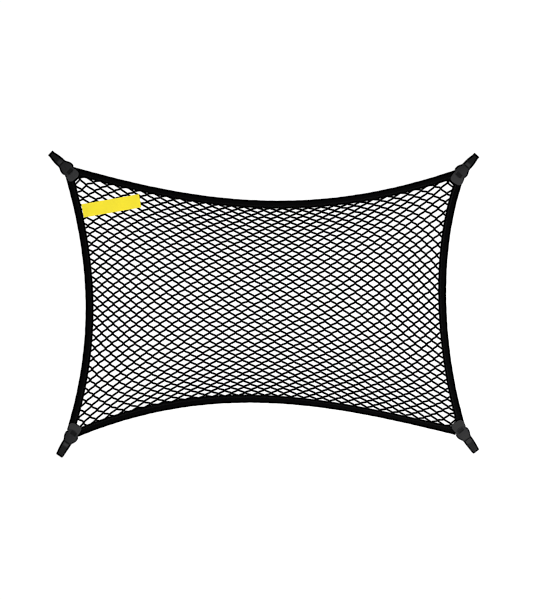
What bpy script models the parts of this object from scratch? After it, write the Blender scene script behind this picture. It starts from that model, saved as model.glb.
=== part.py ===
"""Cargo net with four corner hooks, lying flat and pulled into its bowed shape.

Frame: the origin is on the surface under the middle of the whole net, +X runs along the long
side, +Y across it and +Z up. Every size below is in millimetres, and MM turns it into metres.

Pieces: the netting, the elastic binding folded over its edge, a blank tag sewn on at one end,
and at each corner a keeper that clamps the binding and a hook that is anchored in the keeper.
"""
import math

import bmesh
import bpy
from mathutils import Vector
from mathutils.geometry import delaunay_2d_cdt

MM = 0.001
GAP = 0.3                   # air between pieces that touch on the real net

# Binding: elastic tape folded in half over the edge of the netting
TAPE_THICKNESS = 1.0
BINDING_WIDTH = 18.0
SLOT_HEIGHT = 2.4           # space between the two layers of tape
SLOT_DEPTH_SHARE = 0.85     # how far the slot reaches from the inner edge to the fold
BINDING_HEIGHT = 2 * TAPE_THICKNESS + SLOT_HEIGHT
FOLD_ROUNDING = 1.2
LONG_SIDE_STATIONS = 22
SHORT_SIDE_STATIONS = 16
# How far along each side a chord starts that cuts across the inner corner
MITRE_CHAMFERS = {"far_left": 18.5, "far_right": 18.5, "near_right": 15.0, "near_left": 13.0}

# Netting: knotless diamond mesh, cut here at twice the pitch of the real one
NET_THICKNESS = 1.6
NET_MIDDLE_Z = BINDING_HEIGHT / 2
NET_EDGE_SHARE = 0.78       # how far the sheet reaches into the slot
STRAND_WIDTH = 5.5
HALF_CELL_STEPS = 2         # a cell reaches this many lattice steps each way from its middle
LARGEST_COLUMN = 30
LARGEST_ROW = 30
COLUMN_STEPS = 28.0         # lattice steps from the middle of the net to its short side
ROW_STEPS = 26.0
GAPS_CUT = 300
TIP_COVER = 6.0             # how far a gap's tip may reach under the tape
# The mesh in its bowed shape. A term in u or v bends the rows and columns, from -1 to 1.
NET_MIDDLE = (-7.2, 15.7)
HALF_LENGTH = 407.6         # X for each u
LENGTH_FLARE = 25.8         # X for each u v^2: columns spread towards the corners
LENGTH_CROWDING = -14.0     # X for each u^3
COLUMN_LEAN = -4.6          # X for each v
HALF_HEIGHT = 245.0         # Y for each v
HEIGHT_FLARE = 65.0         # Y for each u^2 v: rows spread towards the short sides
HEIGHT_CROWDING = -25.0     # Y for each v^3: rows bunch along the long sides
ROW_TILT = -18.9            # Y for each u
ROW_TILT_FADE = 16.5        # Y for each u v^2

# Keeper: a clamp with a plate above and below the corner of the binding
PLATE_BELOW = 2.2
CORNER_LIFT = PLATE_BELOW + GAP
SLOT_TOP = CORNER_LIFT + BINDING_HEIGHT + GAP
KEEPER_HEIGHT = 10.9
KEEPER_HALF_WIDTH = 15.3
KEEPER_END_HALF_WIDTH = 14.0  # at the hook's end
KEEPER_OUTER_END = -10.5    # measured along the clip from the middle of the hook's dome
KEEPER_INNER_END = -31.2
KEEPER_CORNER_RADIUS = 9.5
KEEPER_CORNER_STEPS = 6
KEEPER_BEVEL = 1.6
END_WALL = 1.0
WINDOW_HALF_WIDTH = 4.2
WINDOW_INNER_END = -14.4

# Hook: a domed body, a tapered arm and a return leg curled back under it
HOOK_HEIGHT = 13.5
HOOK_LENGTH = 52.0          # from the middle of the dome to the tip
ARM_THICKNESS = 4.1
RETURN_THICKNESS = 3.6
RETURN_END = 27.0
TIP_HALF_WIDTH = 7.2
BEND_STEPS = 6
EDGE_ROUNDING = 1.3
ROLL_START = 14.0
ROLL_FULL = 34.0
ANCHOR_LOW = 7.5            # the flat tail that the keeper holds
ANCHOR_HIGH = 8.9
ANCHOR_NECK_HALF_WIDTH = 3.2
ANCHOR_HEAD_HALF_WIDTH = 6.8
ANCHOR_HEAD_FROM = -23.5
ANCHOR_HEAD_TO = -18.5
ANCHOR_ROOT = -6.0
RECESS_FROM = -14.1         # the dark recess in the back of the dome
RECESS_TO = -5.6
RECESS_HALF_WIDTH = 7.3
RECESS_FLOOR = 11.0

# How high the net lies: lifted where the keepers hold it, flat on the surface elsewhere
LIFT_FLAT_RADIUS = 24.0
LIFT_FADE = 220.0

# Tag: a plain strip sewn on beside the binding
TAG_LENGTH = 132.5
TAG_WIDTH = 31.0
TAG_THICKNESS = 1.0
TAG_MIDDLE = (-349.3, 226.4)
TAG_TURN_DEG = 10.0
TAG_CURL = 2.5              # rise of the free end
TAG_STEPS = (12, 3)

# The binding's fold line: each side bows inwards between two sharp corners
CORNER_POINTS = {
    "far_left": (-464.7, 323.5),
    "far_right": (471.2, 319.6),
    "near_right": (472.3, -308.1),
    "near_left": (-462.6, -320.0),
}
#   side          from          to             bow   skew  flattening  stations
SIDES = [
    ("far", "far_left", "far_right", 83.0, 10.0, -7.0, LONG_SIDE_STATIONS),
    ("right", "far_right", "near_right", 52.0, -6.0, 6.0, SHORT_SIDE_STATIONS),
    ("near", "near_right", "near_left", 87.0, 21.0, -6.0, LONG_SIDE_STATIONS),
    ("left", "near_left", "far_left", 54.0, -3.0, -2.0, SHORT_SIDE_STATIONS),
]
#   corner         middle of the dome   keeper's turn  hook's turn  hook's roll (degrees)
CLIPS = [
    ("far_left", (-452.8, 312.5), 127.6, 137.0, 0.0),
    ("far_right", (454.8, 304.9), 59.9, 47.3, 0.0),
    ("near_right", (458.0, -297.0), -59.2, -51.9, -14.0),
    ("near_left", (-443.1, -304.4), -113.1, -123.7, 14.0),
]
#   hook body    along   half width  low   high  crown
HOOK_BODY = [
    ("lid", -16.6, 3.4, 11.2, 12.3, 0.1),
    ("lid", -15.0, 7.7, 11.2, 12.7, 0.4),
    ("lid", -12.0, 11.8, 11.2, 13.1, 0.8),
    ("lid", -7.3, 15.1, 11.2, 13.5, 1.2),
    ("body", -7.2, 15.0, 0.0, 13.5, 1.4),
    ("dome", -3.0, 16.1, 0.0, 13.7, 2.2),
    ("dome", 1.5, 16.3, 0.0, 13.7, 2.6),
    ("dome", 6.0, 15.4, 0.0, 13.4, 2.6),
    ("dome", 10.0, 13.3, 0.0, 12.9, 2.2),
    ("front", 13.5, 11.3, 0.4, 12.3, 1.5),
    ("groove", 16.2, 10.2, 2.4, 11.8, 0.8),
    ("ridge", 18.8, 9.8, 6.6, 13.0, 0.9),
    ("arm", 22.5, 9.3, 8.9, 12.7, 0.6),
    ("arm", 28.0, 8.8, 9.3, 12.9, 0.5),
    ("arm", 37.0, 8.0, 9.4, 13.3, 0.5),
]
#   return leg: back from its end, rise of its lip, narrowing
RETURN_LEG = [
    (6.0, 0.0, 0.1),
    (2.0, 0.7, 0.3),
    (0.0, -0.6, 1.5),
]


def smoothstep(value):
    """0 below 0, 1 above 1, and 3v^2 - 2v^3 between."""
    held = min(1.0, max(0.0, value))
    return held * held * (3.0 - 2.0 * held)


def direction(degrees):
    """Unit vector in the XY plane at an angle from +X."""
    return Vector((math.cos(math.radians(degrees)), math.sin(math.radians(degrees))))


def bowed(start, end, bow, skew, flattening, share):
    """A point on a side that bows to the right of start-to-end: a chord plus 4t(1-t) times the bow."""
    chord = end - start
    inward = Vector((chord.y, -chord.x)).normalized()
    across = 2.0 * share - 1.0
    depth = 4.0 * share * (1.0 - share) * (bow + skew * across + flattening * across * across)
    return start + chord * share + inward * depth


def first_share(condition, low=0.0, high=0.3):
    """The share between low and high at which a condition turns from false to true."""
    for _ in range(40):
        middle = (low + high) / 2.0
        if condition(middle):
            high = middle
        else:
            low = middle
    return high


def lift(x, y):
    """Height of the soft pieces above the surface at a point, in millimetres."""
    share = 0.0
    for _, dome, keeper_turn, _, _ in CLIPS:
        inside = (KEEPER_INNER_END + KEEPER_OUTER_END) / 2.0
        clamp = Vector(dome) + direction(keeper_turn) * inside
        away = (Vector((x, y)) - clamp).length
        share = max(share, 1.0 - smoothstep((away - LIFT_FLAT_RADIUS) / LIFT_FADE))
    return CORNER_LIFT * share


def offset_crossing(point_a, along_a, point_b, along_b, distance):
    """Where two lines meet after both are moved to the right of their direction."""
    start_a = point_a + Vector((along_a.y, -along_a.x)) * distance
    start_b = point_b + Vector((along_b.y, -along_b.x)) * distance
    between = start_b - start_a
    share = (between.x * along_b.y - between.y * along_b.x) / along_a.cross(along_b)
    return start_a + along_a * share


def binding_stations():
    """Pairs of outer and inner points round the binding, with a chord across each corner."""
    corners = {name: Vector(point) for name, point in CORNER_POINTS.items()}
    clips = {name: (Vector(dome), direction(turn)) for name, dome, turn, _, _ in CLIPS}
    chord_place = KEEPER_OUTER_END - END_WALL - GAP
    outer_shares = {}
    tangents = {}
    for side, start_name, end_name, bow, skew, flattening, _ in SIDES:
        start, end = corners[start_name], corners[end_name]

        def outer(share):
            return bowed(start, end, bow, skew, flattening, share)

        dome, outward = clips[start_name]
        first = first_share(lambda share: (outer(share) - dome).dot(outward) < chord_place)
        dome, outward = clips[end_name]
        last = 1.0 - first_share(lambda share: (outer(1.0 - share) - dome).dot(outward) < chord_place)
        outer_shares[side] = (first, last)
        near = 0.02
        tangents[side] = (
            (outer(first), (outer(first + near) - outer(first)).normalized()),
            (outer(last), (outer(last) - outer(last - near)).normalized()),
        )
    mitres = {}
    for index, (side, start_name, *_rest) in enumerate(SIDES):
        before = SIDES[index - 1][0]
        point_a, along_a = tangents[before][1]
        point_b, along_b = tangents[side][0]
        mitres[start_name] = offset_crossing(point_a, along_a, point_b, along_b, BINDING_WIDTH)
    stations = []
    for side, start_name, end_name, bow, skew, flattening, count in SIDES:
        start, end = corners[start_name], corners[end_name]
        inward = Vector(((end - start).y, -(end - start).x)).normalized()
        inner_start, inner_end = mitres[start_name], mitres[end_name]
        depth = ((inner_start - start).dot(inward) + (inner_end - end).dot(inward)) / 2.0
        inner_bow = bow + BINDING_WIDTH - depth
        length = (inner_end - inner_start).length
        inner_first = MITRE_CHAMFERS[start_name] / length
        inner_last = 1.0 - MITRE_CHAMFERS[end_name] / length
        first, last = outer_shares[side]
        for step in range(count + 1):
            share = (1.0 - math.cos(math.pi * step / count)) / 2.0
            outer_point = bowed(start, end, bow, skew, flattening, first + (last - first) * share)
            inner_share = inner_first + (inner_last - inner_first) * share
            inner_point = bowed(inner_start, inner_end, inner_bow, skew, flattening, inner_share)
            stations.append((outer_point, inner_point))
    return stations


def material(name, colour, roughness):
    """A plain surface for one kind of piece."""
    made = bpy.data.materials.new(name)
    made.use_nodes = True
    shader = made.node_tree.nodes["Principled BSDF"]
    shader.inputs["Base Color"].default_value = (*colour, 1.0)
    shader.inputs["Roughness"].default_value = roughness
    shader.inputs["Metallic"].default_value = 0.0
    return made


def add_object(name, mesh, collection, finish=None):
    """Put a mesh into the scene as a named object."""
    placed = bpy.data.objects.new(name, mesh)
    collection.objects.link(placed)
    if finish is not None:
        placed.data.materials.clear()
        placed.data.materials.append(finish)
    return placed


def loft(name, rings, closed):
    """Skin a row of rings of points. An open row is capped and a closed one meets itself."""
    skin = bmesh.new()
    rows = [[skin.verts.new(Vector(point) * MM) for point in ring] for ring in rings]
    last = len(rows) if closed else len(rows) - 1
    for index in range(last):
        here, there = rows[index], rows[(index + 1) % len(rows)]
        for corner in range(len(here)):
            following = (corner + 1) % len(here)
            skin.faces.new((here[corner], here[following], there[following], there[corner]))
    if not closed:
        skin.faces.new(rows[0])
        skin.faces.new(rows[-1])
    bmesh.ops.recalc_face_normals(skin, faces=skin.faces)
    mesh = bpy.data.meshes.new(name)
    skin.to_mesh(mesh)
    skin.free()
    return mesh


def flat_curve(name, outlines, half_thickness, collection):
    """Closed outlines on one plane, filled and thickened. An outline inside another is a hole."""
    curve = bpy.data.curves.new(name, "CURVE")
    curve.dimensions = "2D"
    curve.fill_mode = "BOTH"
    curve.extrude = half_thickness * MM
    for outline in outlines:
        spline = curve.splines.new("POLY")
        spline.points.add(len(outline) - 1)
        spline.use_cyclic_u = True
        for point, (x, y) in zip(spline.points, outline):
            point.co = (x * MM, y * MM, 0.0, 1.0)
    placed = bpy.data.objects.new(name, curve)
    collection.objects.link(placed)
    return placed


def finished_mesh(source, name):
    """The evaluated mesh of an object, with the loose caps of a curve welded. The object goes."""
    bpy.context.view_layer.update()
    evaluated = source.evaluated_get(bpy.context.evaluated_depsgraph_get())
    mesh = bpy.data.meshes.new_from_object(evaluated)
    mesh.name = name
    weld = bmesh.new()
    weld.from_mesh(mesh)
    bmesh.ops.remove_doubles(weld, verts=weld.verts, dist=0.01 * MM)
    weld.to_mesh(mesh)
    weld.free()
    bpy.data.objects.remove(source, do_unlink=True)
    return mesh


def box_cutter(name, low, high, collection):
    """A box between two corners that is only used to cut."""
    bpy.ops.mesh.primitive_cube_add(size=1.0)
    cutter = bpy.context.active_object
    cutter.name = name
    cutter.location = [(a + b) / 2.0 * MM for a, b in zip(low, high)]
    cutter.scale = [(b - a) * MM for a, b in zip(low, high)]
    cutter.hide_render = True
    cutter.display_type = "WIRE"
    for owner in list(cutter.users_collection):
        owner.objects.unlink(cutter)
    collection.objects.link(cutter)
    return cutter


def boolean(target, tool, operation):
    """Cut an object with a tool, or join the tool to it."""
    step = target.modifiers.new(tool.name, "BOOLEAN")
    step.operation = operation
    step.solver = "EXACT"
    step.object = tool


def make_binding(collection, stations, finish):
    """The folded tape: a U section that opens inwards, carried round the net."""
    slot_low = TAPE_THICKNESS
    slot_high = BINDING_HEIGHT - TAPE_THICKNESS
    rounding_share = 1.0 - FOLD_ROUNDING / BINDING_WIDTH
    section = [
        (0.0, 0.0),
        (rounding_share, 0.0),
        (1.0, FOLD_ROUNDING),
        (1.0, BINDING_HEIGHT - FOLD_ROUNDING),
        (rounding_share, BINDING_HEIGHT),
        (0.0, BINDING_HEIGHT),
        (0.0, slot_high),
        (SLOT_DEPTH_SHARE, slot_high),
        (SLOT_DEPTH_SHARE, slot_low),
        (0.0, slot_low),
    ]
    rings = []
    for outer_point, inner_point in stations:
        ring = []
        for share, height in section:
            place = inner_point.lerp(outer_point, share)
            ring.append((place.x, place.y, height + lift(place.x, place.y)))
        rings.append(ring)
    return add_object("binding", loft("binding", rings, closed=True), collection, finish)


def net_point(column, row):
    """Where a lattice step lies once the net is stretched into its bowed shape."""
    u, v = column / COLUMN_STEPS, row / ROW_STEPS
    x = NET_MIDDLE[0] + u * (HALF_LENGTH + LENGTH_FLARE * v * v + LENGTH_CROWDING * u * u) + COLUMN_LEAN * v
    y = NET_MIDDLE[1] + v * (HALF_HEIGHT + HEIGHT_FLARE * u * u + HEIGHT_CROWDING * v * v)
    return Vector((x, y + u * (ROW_TILT + ROW_TILT_FADE * v * v)))


def gap_outline(column, row):
    """The four corners of one gap, drawn in from its cell by half a strand, and its area."""
    steps = HALF_CELL_STEPS
    cell = [net_point(column - steps, row), net_point(column, row + steps),
            net_point(column + steps, row), net_point(column, row - steps)]
    middle = sum(cell, Vector((0.0, 0.0))) / len(cell)
    sides = [(cell[k], cell[(k + 1) % len(cell)]) for k in range(len(cell))]
    area = abs(sum(a.cross(b) for a, b in sides)) / 2.0
    inradius = 2.0 * area / sum((b - a).length for a, b in sides)
    shrink = 1.0 - STRAND_WIDTH / 2.0 / inradius
    return [middle + (corner - middle) * shrink for corner in cell], area * shrink * shrink


def is_inside(point, loop):
    """Even-odd test of a point against a closed loop."""
    inside = False
    for index, here in enumerate(loop):
        there = loop[index - 1]
        if (here.y > point.y) != (there.y > point.y):
            crossing = here.x + (point.y - here.y) * (there.x - here.x) / (there.y - here.y)
            if point.x < crossing:
                inside = not inside
    return inside


def net_gaps(stations):
    """The largest whole gaps that fit inside the binding."""
    limit = [inner.lerp(outer, TIP_COVER / BINDING_WIDTH) for outer, inner in stations]
    found = []
    pitch = 2 * HALF_CELL_STEPS
    for column in range(-LARGEST_COLUMN, LARGEST_COLUMN + 1, HALF_CELL_STEPS):
        shift = HALF_CELL_STEPS if (column // HALF_CELL_STEPS) % 2 else 0
        for row in range(-LARGEST_ROW - 1 + shift, LARGEST_ROW + 1, pitch):
            outline, area = gap_outline(column, row)
            if all(is_inside(corner, limit) for corner in outline):
                found.append((area, column, row, outline))
    found.sort(key=lambda entry: entry[:3], reverse=True)
    return [entry[3] for entry in found[:GAPS_CUT]]


def perforated_mesh(name, outline, gaps):
    """A flat sheet of even triangles inside an outline, left open where the gaps are."""
    points = []
    edges = []
    owners = []
    for owner, loop in enumerate([outline] + gaps):
        first = len(points)
        points.extend(loop)
        owners.extend([owner] * len(loop))
        edges.extend((first + k, first + (k + 1) % len(loop)) for k in range(len(loop)))
    inside_only = 1
    made = delaunay_2d_cdt(points, edges, [], inside_only, 0.001)
    flat_points, faces, sources = made[0], made[2], made[3]
    mesh = bpy.data.meshes.new(name)
    kept = []
    for face in faces:
        loops = {owners[sources[corner][0]] for corner in face}
        fills_a_gap = len(loops) == 1 and 0 not in loops
        if not fills_a_gap:
            kept.append(face)
    mesh.from_pydata([(point.x * MM, point.y * MM, 0.0) for point in flat_points], [], kept)
    return mesh


def make_netting(collection, stations, finish):
    """One sheet of netting whose edge lies in the binding's slot, lifted with the binding."""
    edge = [inner.lerp(outer, NET_EDGE_SHARE) for outer, inner in stations]
    mesh = perforated_mesh("netting", edge, net_gaps(stations))
    for vertex in mesh.vertices:
        vertex.co.z = (NET_MIDDLE_Z + lift(vertex.co.x / MM, vertex.co.y / MM)) * MM
    netting = add_object("netting", mesh, collection, finish)
    solid = netting.modifiers.new("thickness", "SOLIDIFY")
    solid.thickness = NET_THICKNESS * MM
    solid.offset = 0.0
    return netting


def make_tag(collection, finish):
    """A blank strip over the mesh, with its free end curling up a little."""
    bpy.ops.mesh.primitive_grid_add(x_subdivisions=TAG_STEPS[0], y_subdivisions=TAG_STEPS[1], size=1.0)
    tag = bpy.context.active_object
    tag.name = "tag"
    tag.data.name = "tag"
    tag.data.materials.append(finish)
    for owner in list(tag.users_collection):
        owner.objects.unlink(tag)
    collection.objects.link(tag)
    along = direction(TAG_TURN_DEG)
    across = Vector((-along.y, along.x))
    base = NET_MIDDLE_Z + NET_THICKNESS / 2.0 + GAP
    for vertex in tag.data.vertices:
        share = vertex.co.x + 0.5
        place = Vector(TAG_MIDDLE) + along * vertex.co.x * TAG_LENGTH + across * vertex.co.y * TAG_WIDTH
        height = base + lift(place.x, place.y) + TAG_CURL * share ** 4
        vertex.co = Vector((place.x, place.y, height)) * MM
    solid = tag.modifiers.new("thickness", "SOLIDIFY")
    solid.thickness = TAG_THICKNESS * MM
    solid.offset = 1.0
    return tag


def keeper_outline():
    """Plan of the keeper: square at the hook's end and round at the net's end."""
    outline = [Vector((KEEPER_OUTER_END, side)) for side in (-KEEPER_END_HALF_WIDTH, KEEPER_END_HALF_WIDTH)]
    radius = KEEPER_CORNER_RADIUS
    for sign in (1.0, -1.0):
        middle = Vector((KEEPER_INNER_END + radius, sign * (KEEPER_HALF_WIDTH - radius)))
        for step in range(KEEPER_CORNER_STEPS + 1):
            turn = 90.0 * step / KEEPER_CORNER_STEPS
            angle = 90.0 + turn if sign > 0 else 180.0 + turn
            outline.append(middle + direction(angle) * radius)
    return outline


def make_keeper_cutters(cutters):
    """What is cut out of a keeper: the binding's slot, and the channel and window of the anchor."""
    far = 40.0
    channel_low = SLOT_TOP - GAP
    channel_high = ANCHOR_HIGH + GAP
    slot = box_cutter("keeper_slot", (-far, -far, PLATE_BELOW),
                      (KEEPER_OUTER_END - END_WALL, far, SLOT_TOP), cutters)
    head_half = ANCHOR_HEAD_HALF_WIDTH + GAP
    head = box_cutter("keeper_anchor_head", (ANCHOR_HEAD_FROM - GAP, -head_half, channel_low),
                      (ANCHOR_HEAD_TO + GAP, head_half, channel_high), cutters)
    neck_half = ANCHOR_NECK_HALF_WIDTH + GAP
    neck = box_cutter("keeper_anchor_neck", (ANCHOR_HEAD_TO - GAP, -neck_half, channel_low),
                      (0.0, neck_half, channel_high), cutters)
    window = box_cutter("keeper_window", (WINDOW_INNER_END, -WINDOW_HALF_WIDTH, channel_high - GAP),
                        (0.0, WINDOW_HALF_WIDTH, far), cutters)
    turn = bpy.data.objects.new("anchor_turn", None)
    cutters.objects.link(turn)
    for cutter in (head, neck, window):
        cutter.parent = turn
    return turn, (slot, head, neck, window)


def make_keeper_mesh(collection, turn, cutter_set, swing_deg):
    """The clamp: a rounded block, cut for the binding and, at the hook's angle, for the anchor."""
    block = flat_curve("keeper_outline", [keeper_outline()], KEEPER_HEIGHT / 2.0, collection)
    mesh = finished_mesh(block, "keeper_block")
    for vertex in mesh.vertices:
        vertex.co.z += KEEPER_HEIGHT / 2.0 * MM
    keeper = add_object("keeper_block", mesh, collection)
    rounding = keeper.modifiers.new("rounding", "BEVEL")
    rounding.width = KEEPER_BEVEL * MM
    rounding.segments = 2
    rounding.limit_method = "ANGLE"
    turn.rotation_euler.z = math.radians(swing_deg)
    for cutter in cutter_set:
        boolean(keeper, cutter, "DIFFERENCE")
    return finished_mesh(keeper, "keeper")


def hook_ring(origin, normal, low, high, half_width, crown, roll_deg):
    """One section of the hook: a box with cut corners and a crowned outer face.

    origin and normal lie in the hook's side view, and low and high are measured along the normal.
    """
    rounding = min(EDGE_ROUNDING, 0.3 * (high - low))
    shoulder = high - crown
    profile = [
        (-half_width + rounding, low),
        (half_width - rounding, low),
        (half_width, low + rounding),
        (half_width, shoulder - rounding),
        (half_width - rounding, shoulder),
        (half_width * 0.5, high - crown * 0.25),
        (0.0, high),
        (-half_width * 0.5, high - crown * 0.25),
        (-half_width + rounding, shoulder),
        (-half_width, shoulder - rounding),
        (-half_width, low + rounding),
    ]
    ring = []
    for across, out in profile:
        x, z = origin[0] + normal[0] * out, origin[1] + normal[1] * out
        rolled = smoothstep((x - ROLL_START) / (ROLL_FULL - ROLL_START))
        side = (HOOK_HEIGHT - z) * math.tan(math.radians(roll_deg)) * rolled
        ring.append((x, across + side, z))
    return ring


def make_hook_tools(cutters):
    """The anchor's neck and head, which are joined to a hook, and the recess cut out of it."""
    neck = box_cutter("hook_anchor_neck", (ANCHOR_HEAD_TO - 1.0, -ANCHOR_NECK_HALF_WIDTH, ANCHOR_LOW),
                      (ANCHOR_ROOT, ANCHOR_NECK_HALF_WIDTH, ANCHOR_HIGH), cutters)
    head = box_cutter("hook_anchor_head", (ANCHOR_HEAD_FROM, -ANCHOR_HEAD_HALF_WIDTH, ANCHOR_LOW),
                      (ANCHOR_HEAD_TO, ANCHOR_HEAD_HALF_WIDTH, ANCHOR_HIGH), cutters)
    recess = box_cutter("hook_recess", (RECESS_FROM, -RECESS_HALF_WIDTH, RECESS_FLOOR),
                        (RECESS_TO, RECESS_HALF_WIDTH, 2.0 * HOOK_HEIGHT), cutters)
    return (neck, "UNION"), (head, "UNION"), (recess, "DIFFERENCE")


def make_hook_mesh(collection, tools, roll_deg):
    """The hook: sections carried over the dome and arm, round the bend and back, and its anchor."""
    rings = []
    for _, along, half_width, low, high, crown in HOOK_BODY:
        rings.append(hook_ring((along, 0.0), (0.0, 1.0), low, high, half_width, crown, roll_deg))
    outer_radius = HOOK_HEIGHT / 2.0
    bend = (HOOK_LENGTH - outer_radius, outer_radius)
    for step in range(BEND_STEPS + 1):
        share = step / BEND_STEPS
        normal = direction(90.0 - 180.0 * share)
        thickness = ARM_THICKNESS + (RETURN_THICKNESS - ARM_THICKNESS) * share
        rings.append(hook_ring(bend, normal, outer_radius - thickness, outer_radius,
                               TIP_HALF_WIDTH, 0.0, roll_deg))
    inner = outer_radius - RETURN_THICKNESS
    for back, rise, narrowing in RETURN_LEG:
        rings.append(hook_ring((RETURN_END + back, outer_radius), (0.0, -1.0), inner - rise, outer_radius,
                               TIP_HALF_WIDTH - narrowing, 0.0, roll_deg))
    hook = add_object("hook_loft", loft("hook_loft", rings, closed=False), collection)
    for tool, operation in tools:
        boolean(hook, tool, operation)
    mesh = finished_mesh(hook, "hook")
    mesh.shade_smooth()
    mesh.set_sharp_from_angle(angle=math.radians(35.0))
    return mesh


def make_clips(collection, cutters, keeper_finish, hook_finish):
    """A keeper and a hook at each corner, both placed from the middle of the hook's dome."""
    turn, keeper_cutters = make_keeper_cutters(cutters)
    hook_tools = make_hook_tools(cutters)
    for corner, dome, keeper_turn, hook_turn, roll_deg in CLIPS:
        place = bpy.data.objects.new("clip_" + corner, None)
        place.location = (dome[0] * MM, dome[1] * MM, 0.0)
        collection.objects.link(place)
        keeper_mesh = make_keeper_mesh(collection, turn, keeper_cutters, hook_turn - keeper_turn)
        keeper = add_object("keeper_" + corner, keeper_mesh, collection, keeper_finish)
        keeper.parent = place
        keeper.rotation_euler.z = math.radians(keeper_turn)
        hook_mesh = make_hook_mesh(collection, hook_tools, roll_deg)
        hook = add_object("hook_" + corner, hook_mesh, collection, hook_finish)
        hook.parent = place
        hook.rotation_euler.z = math.radians(hook_turn)


def main():
    for old in list(bpy.data.objects):
        bpy.data.objects.remove(old, do_unlink=True)
    collection = bpy.data.collections.new("cargo_net")
    cutters = bpy.data.collections.new("cutters")
    bpy.context.scene.collection.children.link(collection)
    bpy.context.scene.collection.children.link(cutters)
    stations = binding_stations()
    make_netting(collection, stations, material("net_yarn", (0.004, 0.004, 0.004), 0.85))
    make_binding(collection, stations, material("elastic_tape", (0.008, 0.008, 0.008), 0.8))
    make_tag(collection, material("tag_cloth", (0.93, 0.75, 0.04), 0.6))
    make_clips(collection, cutters, material("keeper_plastic", (0.045, 0.045, 0.047), 0.5),
               material("hook_plastic", (0.018, 0.018, 0.019), 0.45))


main()
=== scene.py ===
# %% [markdown]
# # A cargo net, piece by piece
#
# A cargo net is a panel of knotless mesh with an elastic tape folded over its edge. A plastic keeper
# clamps each corner of the tape and holds a hook. This lesson builds the net over a fixed model of
# simple solids: every piece below is a surface worked out as whole arrays of points, in the place of
# the solid that it stands for.

# %% Load the fixed model
import math

import bpy
import numpy as np
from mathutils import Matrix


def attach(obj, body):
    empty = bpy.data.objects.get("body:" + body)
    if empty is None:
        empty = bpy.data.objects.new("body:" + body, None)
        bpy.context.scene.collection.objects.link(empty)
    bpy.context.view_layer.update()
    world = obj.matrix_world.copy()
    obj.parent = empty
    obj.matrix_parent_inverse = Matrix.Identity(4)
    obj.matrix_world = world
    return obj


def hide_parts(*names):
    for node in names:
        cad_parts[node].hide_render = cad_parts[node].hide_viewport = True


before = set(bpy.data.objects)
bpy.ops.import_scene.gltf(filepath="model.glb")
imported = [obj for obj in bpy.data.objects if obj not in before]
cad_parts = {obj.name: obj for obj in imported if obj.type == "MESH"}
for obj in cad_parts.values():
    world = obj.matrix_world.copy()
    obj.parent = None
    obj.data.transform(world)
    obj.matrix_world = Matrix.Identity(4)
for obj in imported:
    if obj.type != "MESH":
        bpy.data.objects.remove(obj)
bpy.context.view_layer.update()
print("solids:", sorted(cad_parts))

# %% [markdown]
# ## The view
#
# The photograph looks straight down through a long lens, so the net keeps its plan. A vertical
# camera far above it gives the same view. A pixel of the picture is 2.3 mm on the net, and the
# picture's middle lies a little to the right of the net's middle.

# %% Camera
MM = 0.001
PICTURE_WIDTH_PX = 533
PICTURE_HEIGHT_PX = 600
MM_PER_PX = 2.3
NET_MIDDLE_PX = (263.75, 304.25)
CAMERA_HEIGHT = 9.0
SENSOR_MM = 36.0


def from_pixel(x, y):
    """The place on the net of a pixel of the photograph, in millimetres: y runs down there."""
    return np.array([x - NET_MIDDLE_PX[0], NET_MIDDLE_PX[1] - y]) * MM_PER_PX


def add_camera():
    """A long lens straight above the middle of the picture, fitted to the picture's height."""
    data = bpy.data.cameras.new("camera")
    data.sensor_fit = "VERTICAL"
    data.sensor_height = SENSOR_MM
    data.lens = SENSOR_MM * CAMERA_HEIGHT / (PICTURE_HEIGHT_PX * MM_PER_PX * MM)
    camera = bpy.data.objects.new("camera", data)
    middle = from_pixel(PICTURE_WIDTH_PX / 2.0, PICTURE_HEIGHT_PX / 2.0) * MM
    camera.location = (middle[0], middle[1], CAMERA_HEIGHT)
    bpy.context.scene.collection.objects.link(camera)
    bpy.context.scene.camera = camera
    return camera


print("lens in mm:", round(add_camera().data.lens, 1))

# %% [markdown]
# ## Nodes
#
# Every material, the sky and the finish of the picture are small trees of nodes. Setting each input
# and making each link would take a line of its own. So one helper fills a node's inputs with values
# or links, and another adds a node with its inputs filled.

# %% Node helpers
def fill(node, inputs):
    """Give a node's inputs their values: a socket is linked, and anything else is set."""
    for key, value in inputs.items():
        if isinstance(value, bpy.types.NodeSocket):
            node.id_data.links.new(value, node.inputs[key])
        else:
            node.inputs[key].default_value = value
    return node


def add_node(tree, kind, inputs=(), **settings):
    """A new node with its plain settings and its inputs."""
    node = tree.nodes.new(kind)
    for key, value in settings.items():
        setattr(node, key, value)
    return fill(node, dict(inputs))


def new_material(name):
    """A material with its node tree and its main shader."""
    made = bpy.data.materials.new(name)
    made.use_nodes = True
    return made, made.node_tree, made.node_tree.nodes["Principled BSDF"]


print("node helpers are ready")

# %% [markdown]
# ## The light and the floor
#
# The picture is lit evenly, with a white ground and hardly any shadow, as on a light table. Several
# lamps would each leave a shadow. So the floor glows a little, the sky is white round the horizon and
# greyer overhead, and one large lamp gives the plastic a gentle modelling. The plain view transform
# keeps black as black. Last, the picture is sharpened a little and its greys are deepened, as small
# product pictures are.

# %% Floor, sky and lamp
FLOOR_SIZE = 16.0
FLOOR_DROP = 0.0002
FLOOR_GLOW = 0.97
FLOOR_WHITE = 0.07
WHITE = (1.0, 1.0, 1.0, 1.0)
#   strength low and high in the sky, and the heights between which it changes
SKY_LOW = 1.0
SKY_HIGH = 0.55
SKY_LEVEL_TO = 0.25
SKY_FULL_AT = 0.8
LAMP_POWER = 40.0
LAMP_SIZE = 1.0
LAMP_PLACE = (0.9, -0.9, 1.2)
SHARPENING = 0.024
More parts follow.
